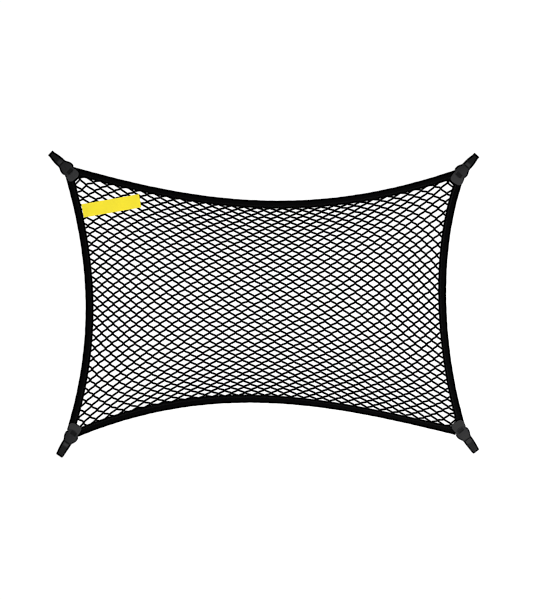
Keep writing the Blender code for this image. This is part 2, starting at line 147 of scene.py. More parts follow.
#   linear tone in and out, between black and white
TONES = [
    (0.02, 0.02), (0.045, 0.040), (0.1, 0.043), (0.2, 0.12), (0.4, 0.32), (0.6, 0.51), (0.8, 0.74),
]
#   the tone node's curves are for red, green, blue and all three together
ALL_COLOURS = 3


def add_floor():
    """A pale glowing square, just under the net."""
    bpy.ops.mesh.primitive_plane_add(size=FLOOR_SIZE, location=(0.0, 0.0, -FLOOR_DROP))
    floor = bpy.context.active_object
    floor.name = "light_table"
    made, _, shader = new_material("light_table")
    fill(shader, {
        "Base Color": (FLOOR_WHITE, FLOOR_WHITE, FLOOR_WHITE, 1.0), "Roughness": 0.9,
        "Specular IOR Level": 0.0, "Emission Color": WHITE, "Emission Strength": FLOOR_GLOW})
    floor.data.materials.append(made)


def add_sky():
    """A sky that is white over the horizon and greyer overhead."""
    world = bpy.data.worlds.new("sky")
    world.use_nodes = True
    tree = world.node_tree
    place = add_node(tree, "ShaderNodeTexCoord")
    split = add_node(tree, "ShaderNodeSeparateXYZ", {"Vector": place.outputs["Generated"]})
    ramp = add_node(tree, "ShaderNodeMapRange", {
        "Value": split.outputs["Z"], "From Min": SKY_LEVEL_TO, "From Max": SKY_FULL_AT,
        "To Min": SKY_LOW, "To Max": SKY_HIGH})
    fill(tree.nodes["Background"], {"Strength": ramp.outputs["Result"], "Color": WHITE})
    bpy.context.scene.world = world


def add_lamp():
    """One large square lamp beyond the near right corner, turned to the middle of the net."""
    data = bpy.data.lights.new("lamp", "AREA")
    data.energy = LAMP_POWER
    data.size = LAMP_SIZE
    lamp = bpy.data.objects.new("lamp", data)
    lamp.location = LAMP_PLACE
    x, y, z = LAMP_PLACE
    lamp.rotation_euler = (0.0, math.acos(z / math.hypot(x, y, z)), math.atan2(y, x))
    bpy.context.scene.collection.objects.link(lamp)


def finish_picture():
    """The finish of a small product picture: slightly sharpened, with a curve that keeps white and
    black as they are and deepens the tones between, so that thin dark cords on white stay dark."""
    scene = bpy.context.scene
    scene.use_nodes = True
    tree = scene.node_tree
    tree.nodes.clear()
    picture = add_node(tree, "CompositorNodeRLayers")
    sharpened = add_node(tree, "CompositorNodeFilter", filter_type="SHARPEN")
    fill(sharpened, {"Image": picture.outputs["Image"], "Fac": SHARPENING})
    tones = add_node(tree, "CompositorNodeCurveRGB", {"Image": sharpened.outputs["Image"]})
    for tone_in, tone_out in TONES:
        tones.mapping.curves[ALL_COLOURS].points.new(tone_in, tone_out)
    tones.mapping.update()
    add_node(tree, "CompositorNodeComposite", {"Image": tones.outputs["Image"]})


add_floor()
add_sky()
add_lamp()
finish_picture()
bpy.context.scene.view_settings.view_transform = "Standard"
print("floor, sky and lamp are in place")

# %% [markdown]
# ## From arrays to meshes
#
# Almost every piece is a grid of points: rows along a path and columns round a section. The same
# few lines turn such a grid into faces and give each face corner its place on the cloth, so that a
# weave can follow the surface.

# %% Grid helpers
def smoothstep(value):
    """0 below 0, 1 above 1, and 3v^2 - 2v^3 between."""
    held = np.clip(value, 0.0, 1.0)
    return held * held * (3.0 - 2.0 * held)


def bell(value, reach):
    """1 at 0, falling off to both sides as e to the power -(value / reach)^2."""
    return np.exp(-(value / reach) ** 2)


def direction(degrees):
    """Unit vector in the plan at an angle from +X."""
    return np.array([np.cos(np.radians(degrees)), np.sin(np.radians(degrees))])


def with_height(plan, z):
    """Points from their plan and their height."""
    return np.concatenate([plan, z[..., None]], -1)


def grid_faces(rows, columns, rows_meet, columns_meet):
    """Quads between neighbours of a grid, and the row and column of each of their corners."""
    row = np.arange(rows if rows_meet else rows - 1)[:, None]
    column = np.arange(columns if columns_meet else columns - 1)[None, :]
    row_steps = np.stack([row, row, row + 1, row + 1], -1) + 0 * column[..., None]
    column_steps = np.stack([column, column + 1, column + 1, column], -1) + 0 * row_steps
    corners = (row_steps % rows) * columns + column_steps % columns
    return corners.reshape(-1, 4), row_steps.reshape(-1, 4), column_steps.reshape(-1, 4)


def signed_volume(points, faces):
    """Six times the volume inside quads: each half of a quad adds its corners' triple product."""
    a, b, c, d = (points[faces[:, k]] for k in range(4))
    return np.einsum("ij,ij->", a, np.cross(b, c)) + np.einsum("ij,ij->", a, np.cross(c, d))


def add_piece(name, points, faces, cloth_places, caps=(), sharp_degrees=None, shade=None):
    """An object at the origin made of quads and caps. Points are in mm and cloth places in metres."""
    if signed_volume(points, faces) < 0.0:
        faces = faces[:, ::-1]
        cloth_places = cloth_places[:, ::-1]
        caps = [cap[:, ::-1] for cap in caps]
    groups = [faces, *caps]
    corners = np.concatenate([group.ravel() for group in groups])
    sizes = np.concatenate([np.full(len(group), group.shape[1]) for group in groups])
    places = np.zeros((len(corners), 2))
    places[: faces.size] = cloth_places.reshape(-1, 2)
    used, corners = np.unique(corners, return_inverse=True)
    mesh = bpy.data.meshes.new(name)
    mesh.vertices.add(len(used))
    mesh.vertices.foreach_set("co", (points[used] * MM).ravel())
    mesh.loops.add(len(corners))
    mesh.loops.foreach_set("vertex_index", corners.ravel().astype(np.int32))
    mesh.polygons.add(len(sizes))
    mesh.polygons.foreach_set("loop_start", (np.cumsum(sizes) - sizes).astype(np.int32))
    mesh.uv_layers.new(name="cloth").data.foreach_set("uv", places.ravel())
    # a point attribute of painted light and shade, which the material multiplies its colour by
    if shade is not None:
        attribute = mesh.attributes.new("shade", "FLOAT", "POINT")
        attribute.data.foreach_set("value", shade.ravel()[used])
    mesh.update(calc_edges=True)
    mesh.validate()
    mesh.shade_smooth()
    if sharp_degrees is not None:
        mesh.set_sharp_from_angle(angle=math.radians(sharp_degrees))
    piece = bpy.data.objects.new(name, mesh)
    bpy.context.scene.collection.objects.link(piece)
    print(f"{name}: {len(used)} points, {int((sizes - 2).sum())} triangles")
    return piece


def add_grid(name, points, along, across, rows_meet=False, close_ends=False, **options):
    """A piece from a grid of rows of closed rings: along and across place each line on the cloth."""
    rows, columns = points.shape[:2]
    faces, row_steps, column_steps = grid_faces(rows, columns, rows_meet, True)
    places = np.stack([along[row_steps], across[column_steps]], -1)
    caps = []
    if close_ends:
        ring = np.arange(columns)
        caps = [ring[None, ::-1], ring[None, :] + (rows - 1) * columns]
    return add_piece(name, points.reshape(-1, 3), faces, places, caps, **options)


print("a 3 x 3 grid has", len(grid_faces(3, 3, False, False)[0]), "faces")

# %% [markdown]
# ## The plan of the net
#
# The tape pulls each side into a shallow bow between two corners. A bow is a straight line plus
# 4t(1 - t) times its depth, with a little skew because the net lies unevenly. The keepers clamp the
# corners, which are lifted by the thickness of a keeper's lower plate.

# %% Corners, sides and clips
GAP = 0.3
TAPE_WIDTH = 18.0
TAPE_THICKNESS = 1.0
BINDING_HEIGHT = 4.4
MIDDLE_Z = BINDING_HEIGHT / 2.0
CORNER_LIFT = 2.5
LIFT_FLAT_RADIUS = 24.0
LIFT_FADE = 220.0
#   places along a keeper from the middle of the hook's dome, which are negative towards the net
KEEPER_OUTER_END = -10.5
KEEPER_INNER_END = -31.2
END_WALL = 1.0
END_WALL_HALF_WIDTH = 11.0
WALL_FACE = KEEPER_OUTER_END - END_WALL

CORNER_POINTS = {
    "far_left": (-464.7, 323.5),
    "far_right": (471.2, 319.6),
    "near_right": (472.3, -308.1),
    "near_left": (-462.6, -320.0),
}
#   from           to             bow   skew  flattening
SIDES = [
    ("far_left", "far_right", 83.0, 10.0, -7.0),
    ("far_right", "near_right", 52.0, -6.0, 6.0),
    ("near_right", "near_left", 87.0, 21.0, -6.0),
    ("near_left", "far_left", 54.0, -3.0, -2.0),
]
#   corner         middle of the dome   keeper's turn  hook's turn  hook's roll (degrees)
CLIPS = [
    ("far_left", (-452.8, 312.5), 127.6, 137.0, 0.0),
    ("far_right", (454.8, 304.9), 59.9, 47.3, 0.0),
    ("near_right", (458.0, -297.0), -59.2, -51.9, -14.0),
    ("near_left", (-443.1, -304.4), -113.1, -123.7, 14.0),
]


def right_of(vector):
    """The vector turned a quarter to its right."""
    return np.stack([vector[..., 1], -vector[..., 0]], -1)


def unit(vector):
    """The vector at length one."""
    return vector / np.linalg.norm(vector, axis=-1, keepdims=True)


def bowed(start, end, bow, skew, flattening, share):
    """Points on a side: the chord plus, to its right, 4t(1-t) times the bow."""
    share = np.asarray(share, float)[..., None]
    across = 2.0 * share - 1.0
    depth = 4.0 * share * (1.0 - share) * (bow + skew * across + flattening * across ** 2)
    return start + (end - start) * share + right_of(unit(end - start)) * depth


def lift(plan):
    """Height of the cloth above the floor: full round each keeper, fading out by a smooth step."""
    height = np.zeros(plan.shape[:-1])
    for _, dome, keeper_turn, *_ in CLIPS:
        clamp = np.array(dome) + direction(keeper_turn) * (KEEPER_INNER_END + KEEPER_OUTER_END) / 2.0
        away = np.linalg.norm(plan - clamp, axis=-1)
        height = np.maximum(height, 1.0 - smoothstep((away - LIFT_FLAT_RADIUS) / LIFT_FADE))
    return CORNER_LIFT * height


far_ends = [np.array(CORNER_POINTS[name]) for name in SIDES[0][:2]]
print("the middle of the far side:", bowed(*far_ends, *SIDES[0][2:], 0.5))

# %% [markdown]
# ## The edge of the tape
#
# The tape's fold is the outer line and its two edges lie together on the inner line. At a corner the
# fold runs straight across inside the keeper. The tapes of the two long sides also put an ear out of
# the keeper, past its end wall and under the hook's lid. A chord across the mitre joins the inner
# lines of two sides. Both lines get the same number of stations, about two millimetres apart, so that
# they make one grid.

# %% Outer and inner line of the tape
STATION_PITCH = 2.0
#   how much closer the stations lie at a side's ends: 0 for evenly spaced and 1 for a full cosine
STATION_CROWDING = 0.25
#   the fold's start is looked for in these steps over this share of a side
SEARCH_STEPS = 4000
SEARCH_SHARE = 0.3
SLOPE_STEP = 0.02
#   how far each side's inner line stops short of the mitre
MITRE_CHAMFERS = {"far_left": 16.3, "far_right": 16.3, "near_right": 15.0, "near_left": 13.0}
#   the far and the near side have ears: the tip is on the hook's line, the foot beside the end wall
EARED_SIDES = (0, 2)
EAR_TIP = -8.0
EAR_FOOT_HALF_WIDTH = 11.6
EAR_FOOT_SHARE = 0.2


def fold_start(outer, clip, eared, shares):
    """The share at which a side's fold starts: behind the end wall, or an ear's tip under the lid."""
    limit, turn = (EAR_TIP, clip[3]) if eared else (WALL_FACE - GAP, clip[2])
    along = (outer(shares) - np.array(clip[1])) @ direction(turn)
    return shares[np.argmax(along < limit)]


def ear_foot(clip, tip):
    """The place inside the keeper's end wall at which an ear of the tape starts, on the ear's side."""
    dome, turn = np.array(clip[1]), direction(clip[2])
    side = np.sign((tip - dome) @ -right_of(turn)) * EAR_FOOT_HALF_WIDTH
    return dome + turn * (WALL_FACE - GAP) - right_of(turn) * side


def crossing(point_a, along_a, point_b, along_b):
    """Where two lines meet, from the ratio of two cross products."""
    between = point_b - point_a
    share = (between @ right_of(along_b)) / (along_a @ right_of(along_b))
    return point_a + along_a * share


def tape_lines():
    """Points round the net on the tape's fold and on its two edges."""
    clips = {clip[0]: clip for clip in CLIPS}
    ends = []
    for index, (start_name, end_name, *form) in enumerate(SIDES):
        start, end = np.array(CORNER_POINTS[start_name]), np.array(CORNER_POINTS[end_name])

        def outer(share):
            return bowed(start, end, *form, share)

        shares = np.linspace(0.0, SEARCH_SHARE, SEARCH_STEPS)
        eared = index in EARED_SIDES
        first = fold_start(outer, clips[start_name], eared, shares)
        last = 1.0 - fold_start(lambda share: outer(1.0 - share), clips[end_name], eared, shares)
        ends.append((first, last, unit(outer(first + SLOPE_STEP) - outer(first)),
                     unit(outer(last) - outer(last - SLOPE_STEP)), outer(first), outer(last)))
    mitres = {}
    for index, side in enumerate(SIDES):
        before, here = ends[index - 1], ends[index]
        mitres[side[0]] = crossing(before[5] + right_of(before[3]) * TAPE_WIDTH, before[3],
                                   here[4] + right_of(here[2]) * TAPE_WIDTH, here[2])
    outer_line, inner_line = [], []
    for (start_name, end_name, bow, *form), (first, last, *_) in zip(SIDES, ends):
        start, end = np.array(CORNER_POINTS[start_name]), np.array(CORNER_POINTS[end_name])
        inward = right_of(unit(end - start))
        inner_start, inner_end = mitres[start_name], mitres[end_name]
        depth = ((inner_start - start) @ inward + (inner_end - end) @ inward) / 2.0
        length = np.linalg.norm(inner_end - inner_start)
        inner_first = MITRE_CHAMFERS[start_name] / length
        inner_last = 1.0 - MITRE_CHAMFERS[end_name] / length
        count = int(np.linalg.norm(end - start) / STATION_PITCH)
        crowded = (1.0 - np.cos(np.linspace(0.0, np.pi, count))) / 2.0
        even = np.linspace(0.0, 1.0, count)
        share = STATION_CROWDING * crowded + (1.0 - STATION_CROWDING) * even
        outer_line.append(bowed(start, end, bow, *form, first + (last - first) * share))
        inner_line.append(bowed(inner_start, inner_end, bow + TAPE_WIDTH - depth, *form,
                                inner_first + (inner_last - inner_first) * share))
    for index in EARED_SIDES:
        outer, inner = outer_line[index], inner_line[index]
        feet = [ear_foot(clips[name], tip)
                for name, tip in zip(SIDES[index][:2], (outer[0], outer[-1]))]
        near, far = 1.0 - EAR_FOOT_SHARE, EAR_FOOT_SHARE
        before = inner[0] * near + inner_line[index - 1][-1] * far
        after = inner[-1] * near + inner_line[(index + 1) % len(SIDES)][0] * far
        outer_line[index] = np.concatenate([feet[:1], outer, feet[1:]])
        inner_line[index] = np.concatenate([[before], inner, [after]])
    return np.concatenate(outer_line), np.concatenate(inner_line)


def running_length(line):
    """Distance along a line of points, from the first one."""
    steps = np.linalg.norm(np.diff(line, axis=0), axis=-1)
    return np.concatenate([[0.0], np.cumsum(steps)])


OUTER_LINE, INNER_LINE = tape_lines()
TAPE_LENGTH = running_length(OUTER_LINE)
print("tape stations:", len(OUTER_LINE), "length in mm:", round(TAPE_LENGTH[-1]))

# %% [markdown]
# ## The binding
#
# The real tape is woven elastic, folded in half and sewn through with a zigzag while it is
# stretched. When it relaxes, the seam lies in a shallow trough with a dimple at every stitch and the
# fold puckers slightly. The section is one closed outline of two layers; it is carried along the two
# lines above, and small waves on the fold and the seam make the puckers. Places across the tape are
# shares, from 0 at its edges to 1 at its fold. A cloth simulation would pucker the tape too, but it
# would also move the outline.

# %% Binding
SEAM_SHARE = 0.30
SEAM_DEPTH = 0.75
SEAM_HALF_WIDTH = 0.085
STITCH_PITCH = 3.4
STITCH_DIMPLE = 0.18
DIMPLE_HALF_WIDTH = 0.14
EDGE_DROP = 0.35
EDGE_HALF_WIDTH = 0.06
FOLD_FROM = 0.90
FOLD_TURN_DEG = 80.0
FLAT_POINTS = 15
FOLD_POINTS = 9
#   the points inside the fold, and the least half space between the two layers
INSIDE_SHARES = np.array([0.0, 0.25, 0.5, 0.75, 0.86])
LEAST_HALF_SPACE = 0.15
PUCKER = 0.28
PUCKER_FROM = 0.6
FOLD_SQUEEZE = 0.05
LAYER_SQUEEZE = 0.02
#   length, phase and size of each of the waves that make an uneven pucker
PUCKER_WAVES = [(3.1, 0.0, 0.45), (5.3, 1.0, 0.35), (11.7, 2.0, 0.4)]


def half_height(share):
    """Half the folded tape's height: full over the middle, lower in the seam and at the edges."""
    trough = SEAM_DEPTH * bell(share - SEAM_SHARE, SEAM_HALF_WIDTH)
    return MIDDLE_Z - trough - EDGE_DROP * bell(share, EDGE_HALF_WIDTH)


def tape_section():
    """Shares across the tape and heights from its middle, once round the two layers."""
    flat = np.linspace(0.0, FOLD_FROM, FLAT_POINTS)
    turn = np.linspace(FOLD_TURN_DEG, -FOLD_TURN_DEG, FOLD_POINTS)
    fold_share = FOLD_FROM + (1.0 - FOLD_FROM) * np.cos(np.radians(turn))
    fold_height = half_height(FOLD_FROM) * np.sin(np.radians(turn))
    space = np.maximum(half_height(INSIDE_SHARES) - TAPE_THICKNESS, LEAST_HALF_SPACE)
    share = np.concatenate([flat, fold_share, flat[::-1], INSIDE_SHARES, INSIDE_SHARES[::-1]])
    height = np.concatenate([half_height(flat), fold_height, -half_height(flat[::-1]),
                             -space, space[::-1]])
    return share, height


def make_binding():
    """The section at every station, with puckers at the fold and a dimple at every stitch."""
    share, height = tape_section()
    pucker = sum(size * np.sin(TAPE_LENGTH / wave + phase) for wave, phase, size in PUCKER_WAVES)
    pucker = pucker[:, None]
    near_fold = smoothstep((share - PUCKER_FROM) / (1.0 - PUCKER_FROM))
    near_seam = bell(share - SEAM_SHARE, DIMPLE_HALF_WIDTH)
    shifted = share + near_fold * pucker * PUCKER / TAPE_WIDTH
    plan = INNER_LINE[:, None, :] + (OUTER_LINE - INNER_LINE)[:, None, :] * shifted[..., None]
    stitches = np.cos(2.0 * np.pi * TAPE_LENGTH / STITCH_PITCH)[:, None]
    dimple = STITCH_DIMPLE * stitches * near_seam
    scale = 1.0 - FOLD_SQUEEZE * (1.0 + pucker) * near_fold - LAYER_SQUEEZE * pucker
    z = MIDDLE_Z + height * scale + dimple * np.sign(height) + lift(plan)
    steps = np.abs(np.diff(share)) * TAPE_WIDTH + np.abs(np.diff(height))
    across = np.concatenate([[0.0], np.cumsum(steps), [steps.sum() + TAPE_THICKNESS]])
    around = np.append(TAPE_LENGTH, TAPE_LENGTH[-1] + STATION_PITCH)
    return add_grid("binding_tape", with_height(plan, z), around * MM, across * MM, rows_meet=True)


binding = make_binding()

# %% [markdown]
# ## The zigzag seam
#
# Elastic is sewn with a zigzag because that stretches with it. The thread is one round tube that
# jumps from side to side of the trough and dips where the needle went in. A bevelled curve would do
# as well, but the function that makes this tube from arrays serves the cords of the mesh too. The
# same thread shows on the underside.

# %% Seam thread
THREAD_RADIUS = 0.24
THREAD_SIDES = 5
ZIGZAG_HALF_WIDTH = 1.5
POINTS_A_LEG = 4
#   height of the thread's middle over the tape, in radii: in the middle of a leg, and its fall
#   from there to the needle's holes
THREAD_RISE = 0.75
THREAD_FALL = 1.9


def tube(points, half_width, half_thickness, sides):
    """Rings round a path: the width lies in the plan across the path, and the height is along Z."""
    tangent = unit(np.gradient(points[..., :2], axis=-2))
    angle = np.linspace(0.0, 2.0 * np.pi, sides, endpoint=False)
    rings = np.repeat(points[..., None, :], sides, axis=-2)
    rings[..., :2] += right_of(tangent)[..., None, :] * (np.cos(angle) * half_width)[..., None]
    rings[..., 2] += np.sin(angle) * half_thickness
    return rings


def make_seam(name, side):
    """The thread on one face of the tape: side is 1 on top and -1 underneath."""
    legs = int(TAPE_LENGTH[-1] / (STITCH_PITCH / 2.0)) // 2 * 2
    leg = np.arange(legs * POINTS_A_LEG) / POINTS_A_LEG
    wanted = leg * TAPE_LENGTH[-1] / legs
    swing = 1.0 - 2.0 * np.abs(leg % 2.0 - 1.0)
    share = SEAM_SHARE + ZIGZAG_HALF_WIDTH / TAPE_WIDTH * swing
    outer, inner = (np.stack([np.interp(wanted, TAPE_LENGTH, line[:, k]) for k in range(2)], -1)
                    for line in (OUTER_LINE, INNER_LINE))
    plan = inner + (outer - inner) * share[:, None]
    rise = THREAD_RADIUS * (THREAD_RISE - THREAD_FALL * np.abs(swing) ** 3)
    z = MIDDLE_Z + side * (half_height(share) + rise) + lift(plan)
    rings = tube(with_height(plan, z), THREAD_RADIUS, THREAD_RADIUS, THREAD_SIDES)
    around = np.linspace(0.0, 2.0 * np.pi * THREAD_RADIUS, THREAD_SIDES + 1)
    return add_grid(name, rings, wanted * MM, around * MM, close_ends=True)


seam_top = make_seam("seam_thread_top", 1.0)
seam_under = make_seam("seam_thread_under", -1.0)

# %% [markdown]
# ## The mesh
#
# Knotless netting is knitted, not tied: every cord runs the length of the panel in a zigzag and is
# knitted together with its neighbour at each joint, first the one on its left and then the one on
# its right. So a cord alternates between two columns of the lattice, and a joint is a short upright
# bar of two cords side by side. The tape pulls the lattice out of square. Twenty-five of its joints
# were measured, and one smooth surface through them gives the place of every other joint. Beside each
# keeper the cloth is pulled out of that surface, so four more joints were measured there. A curve
# with a bevel for each cord would be round and heavy. Flat tubes from one array make half the net a
# single mesh, and two cords that share a joint move together.

# %% The lattice in its bowed shape
JOINT_COLUMNS = np.array([-28.0, -14.0, 0.0, 14.0, 28.0])
#   row    X of the joint in each of those columns      Y of the joint in each of them
JOINTS = [
    (24.0, (-438.5, -223.0, -15.0, 192.0, 410.5), (290.5, 243.0, 216.5, 225.5, 276.5)),
    (12.0, (-414.0, -214.5, -8.5, 197.0, 388.0), (160.0, 144.5, 126.0, 128.5, 137.5)),
    (0.0, (-396.0, -210.0, -6.5, 196.5, 380.5), (35.0, 27.0, 17.0, 7.5, -4.0)),
    (-12.0, (-401.0, -212.0, -5.5, 199.5, 393.0), (-100.0, -97.0, -93.5, -111.0, -136.0)),
    (-24.0, (-428.0, -213.5, 0.0, 207.0, 412.5), (-255.0, -205.0, -190.0, -211.0, -252.5)),
]
#   joints beside the keepers: column, row, X, Y
CORNERS = np.array([
    (-28.0, 23.0, -433.9, 273.6),
    (-27.0, 24.0, -423.0, 288.6),
    (-26.0, 23.0, -407.7, 273.5),
    (-27.0, 22.0, -417.9, 262.7),
    (29.0, 24.0, 423.3, 280.7),
    (30.0, 23.0, 436.4, 266.6),
    (29.0, 22.0, 420.7, 255.1),
    (28.0, 23.0, 406.7, 265.1),
    (-28.0, -25.0, -426.7, -262.6),
    (-27.0, -26.0, -414.1, -272.0),
    (-26.0, -25.0, -399.9, -257.9),
    (-27.0, -24.0, -412.4, -248.6),
    (29.0, -24.0, 427.0, -254.3),
    (28.0, -25.0, 413.4, -262.9),
    (30.0, -25.0, 441.7, -264.2),
    (29.0, -26.0, 430.9, -275.0),
])
PULL_REACH = 0.9


def weights(stations, value):
    """How much each station counts at a value, when one smooth curve runs through all of them."""
    shares = []
    for station in stations:
        others = stations[stations != station]
        shares.append(np.prod((value[..., None] - others) / (station - others), axis=-1))
    return np.stack(shares, -1)


def smooth_place(column, row):
    """Plan position of a lattice step on one smooth surface through the measured joints."""
    rows = np.array([line[0] for line in JOINTS])
    places = np.array([line[1:] for line in JOINTS])
    return np.einsum("...r,...c,rdc->...d",
                     weights(rows, row), weights(JOINT_COLUMNS, column), places)


def nearness(column, row):
    """1 at each measured corner joint, falling off as a bell over about one lattice step."""
    steps = (column[..., None] - CORNERS[:, 0]) ** 2 + (row[..., None] - CORNERS[:, 1]) ** 2
    return np.exp(-steps / (2.0 * PULL_REACH ** 2))


CORNER_PULLS = np.linalg.solve(nearness(CORNERS[:, 0], CORNERS[:, 1]),
                               CORNERS[:, 2:] - smooth_place(CORNERS[:, 0], CORNERS[:, 1]))


def net_place(column, row):
    """Plan position of a lattice step: the smooth surface plus the pull of the keepers near it."""
    column, row = np.broadcast_arrays(np.asarray(column, float), np.asarray(row, float))
    return smooth_place(column, row) + nearness(column, row) @ CORNER_PULLS


mesh_width = net_place(1.0, 0.0) - net_place(-1.0, 0.0)
print("pulls beside the keepers in mm:", np.round(CORNER_PULLS).astype(int).tolist())
print("one mesh is", np.round(mesh_width, 1), "mm wide at the middle")

# %% Cords
FIRST_CORD = -32
LAST_CORD = 32
LAST_ROW = 28
CORD_HALF_WIDTH = 2.15
CORD_HALF_THICKNESS = 0.8
CORD_SIDES = 8
RING_SHARES = np.array([0.0, 0.15, 0.3, 0.5, 0.7, 0.85])
#   a cord's place beside its joint, the upright part of its way, and how softly it turns
JOINT_OFFSET = 1.1
JOINT_SHARE = 0.15
STRAND_SOFTNESS = 0.35
UNEVENNESS_SEED = 11
JITTER = 0.35
SWAY = 0.35
SWAY_LENGTHS = (41.0, 33.0)
#   how far the cords reach under the tape, tried against every sixth of its stations
UNDER_TAPE = 8.0
LOOP_STRIDE = 6


def strand_share(share):
    """How far a cord has crossed from one joint to the next: upright at both, straight between."""
    crossed = np.clip((share - JOINT_SHARE) / (1.0 - 2.0 * JOINT_SHARE), 0.0, 1.0)
    return crossed - STRAND_SOFTNESS * np.sin(2.0 * np.pi * crossed) / (2.0 * np.pi)


def cord_paths(cords):
    """Centre lines of cords, from row to row of the lattice."""
    rows = np.arange(-LAST_ROW, LAST_ROW + 1)
    start = np.repeat(rows[:-1], len(RING_SHARES))
    share = np.tile(RING_SHARES, len(rows) - 1)
    on_left = (cords[:, None] + start[None, :]) % 2 == 1
    crossed = strand_share(share)[None, :]
    side = np.where(on_left, crossed, 1.0 - crossed)
    plan = net_place(cords[:, None] + side, start + share)
    plan[..., 0] += JOINT_OFFSET * (1.0 - 2.0 * side)
    draws = np.random.default_rng(UNEVENNESS_SEED)
    unevenness = draws.normal(0.0, JITTER, (2 * LAST_CORD + 4, len(rows), 2))
    from_column = (cords[:, None] + np.where(on_left, 0, 1)) - FIRST_CORD
    to_column = (cords[:, None] + np.where(on_left, 1, 0)) - FIRST_CORD
    start_row = (start + LAST_ROW)[None, :] + 0 * from_column
    plan += unevenness[from_column, start_row] * (1.0 - crossed[..., None])
    plan += unevenness[to_column, start_row + 1] * crossed[..., None]
    x, y = plan[..., 0], plan[..., 1]
    sway = SWAY * np.sin(x / SWAY_LENGTHS[0] + 1.0) * np.sin(y / SWAY_LENGTHS[1])
    return with_height(plan, MIDDLE_Z + sway + lift(plan))


def is_inside(plan, loop):
    """Even-odd test of points against a closed loop: an odd number of crossings is inside."""
    x, y = plan[..., 0, None], plan[..., 1, None]
    here, there = loop, np.roll(loop, -1, axis=0)
    spans = (here[:, 1] > y) != (there[:, 1] > y)
    rise = np.where(there[:, 1] == here[:, 1], 1.0, there[:, 1] - here[:, 1])
    at = here[:, 0] + (y - here[:, 1]) * (there[:, 0] - here[:, 0]) / rise
    return (spans & (x < at)).sum(-1) % 2 == 1


def make_netting(name, first, last):
    """Flattened tubes along the cords, kept as far as they reach under the tape and capped there."""
    points = cord_paths(np.arange(first, last))
    loop = (INNER_LINE + unit(OUTER_LINE - INNER_LINE) * UNDER_TAPE)[::LOOP_STRIDE]
    inside = is_inside(points[..., :2], loop)
    cords, count = inside.shape
    kept = inside[:, :-1] & inside[:, 1:]
    cord, strip = np.nonzero(kept)
    faces, row_steps, column_steps = (
        part.reshape(count - 1, CORD_SIDES, 4)[strip]
        for part in grid_faces(count, CORD_SIDES, False, True))
    faces = (faces + (cord * count * CORD_SIDES)[:, None, None]).reshape(-1, 4)
    steps = np.linalg.norm(np.diff(points, axis=1), axis=-1)
    length = np.concatenate([np.zeros((cords, 1)), np.cumsum(steps, axis=1)], 1)
    girth = np.pi * (CORD_HALF_WIDTH + CORD_HALF_THICKNESS)
    places = np.stack([length[cord[:, None, None], row_steps],
                       column_steps * girth / CORD_SIDES], -1).reshape(-1, 4, 2) * MM
    padded = np.pad(kept, ((0, 0), (1, 1)))
    ring = np.arange(CORD_SIDES)
    caps = []
    for ends, order in ((padded[:, 1:] & ~padded[:, :-1], ring[::-1]),
                        (~padded[:, 1:] & padded[:, :-1], ring)):
        end_cord, end_row = np.nonzero(ends)
        caps.append(((end_cord * count + end_row) * CORD_SIDES)[:, None] + order)
    rings = tube(points, CORD_HALF_WIDTH, CORD_HALF_THICKNESS, CORD_SIDES)
    return add_piece(name, rings.reshape(-1, 3), faces, places, caps)


netting_left = make_netting("netting_left", FIRST_CORD, 0)
netting_right = make_netting("netting_right", 0, LAST_CORD)

# %% [markdown]
# ## The tag
#
# The tag is a strip of coated cloth, tucked under the tape at one end and loose at the other. It is
# a grid with a few soft creases and a slight curl, closed into a thin sheet. A simulated strip would
# fall a little differently each time, and waves that are written down do not.

# %% Tag
TAG_LENGTH = 132.5
TAG_WIDTH = 31.0
TAG_THICKNESS = 0.45
TAG_MIDDLE = np.array([-349.3, 226.4])
TAG_TURN_DEG = 10.0
TAG_TUCK = 2.0
TAG_STEPS = (72, 18)
TAG_REST = 0.1
TAG_LIFT = 0.55
#   the shares of the tag's length between which it rises from the cords to its full lift
TAG_RISE_FROM = -0.02
TAG_RISE_TO = 0.10
TAG_CURL = 2.2
TAG_TWIST = 0.2
TAG_WAVE = 0.30
TAG_WAVE_LENGTHS = (9.5, 14.0)
CREASE_DEPTH = 0.35
CREASE_PLACE = 18.0
CREASE_HALF_WIDTH = 1.6
CREASE_SLANT = 0.5


def make_tag():
    """The strip's surface: two shallow crossing waves, a slanting crease, and a curl that grows with
    the fourth power of the way to the free end."""
    along = np.linspace(-TAG_LENGTH / 2.0 - TAG_TUCK, TAG_LENGTH / 2.0, TAG_STEPS[0])[:, None]
    across = np.linspace(-TAG_WIDTH / 2.0, TAG_WIDTH / 2.0, TAG_STEPS[1])
    turn = direction(TAG_TURN_DEG)
    plan = TAG_MIDDLE + along[..., None] * turn + across[:, None] * -right_of(turn)
    wave = np.sin(along / TAG_WAVE_LENGTHS[0] + 0.6) * np.cos(across / TAG_WAVE_LENGTHS[1])
    crease = bell(along + CREASE_SLANT * across - CREASE_PLACE, CREASE_HALF_WIDTH)
    share = (along + TAG_LENGTH / 2.0) / TAG_LENGTH
    settle = smoothstep((share - TAG_RISE_FROM) / (TAG_RISE_TO - TAG_RISE_FROM))
    curl = TAG_CURL * np.clip(share, 0.0, 1.0) ** 4 * (1.0 + TAG_TWIST * across / TAG_WIDTH)
    relief = settle * (TAG_LIFT + TAG_WAVE * wave - CREASE_DEPTH * crease)
    z = MIDDLE_Z + CORD_HALF_THICKNESS + TAG_REST + relief + curl + lift(plan)
    low = with_height(plan, z)
    high = low + np.array([0.0, 0.0, TAG_THICKNESS])
    girth = np.concatenate([across, across[::-1] + TAG_WIDTH, [across[0] + 2.0 * TAG_WIDTH]])
    return add_grid("tag_strip", np.concatenate([low, high[:, ::-1]], 1), along[:, 0] * MM,
                    girth * MM, close_ends=True, sharp_degrees=50.0)


tag = make_tag()

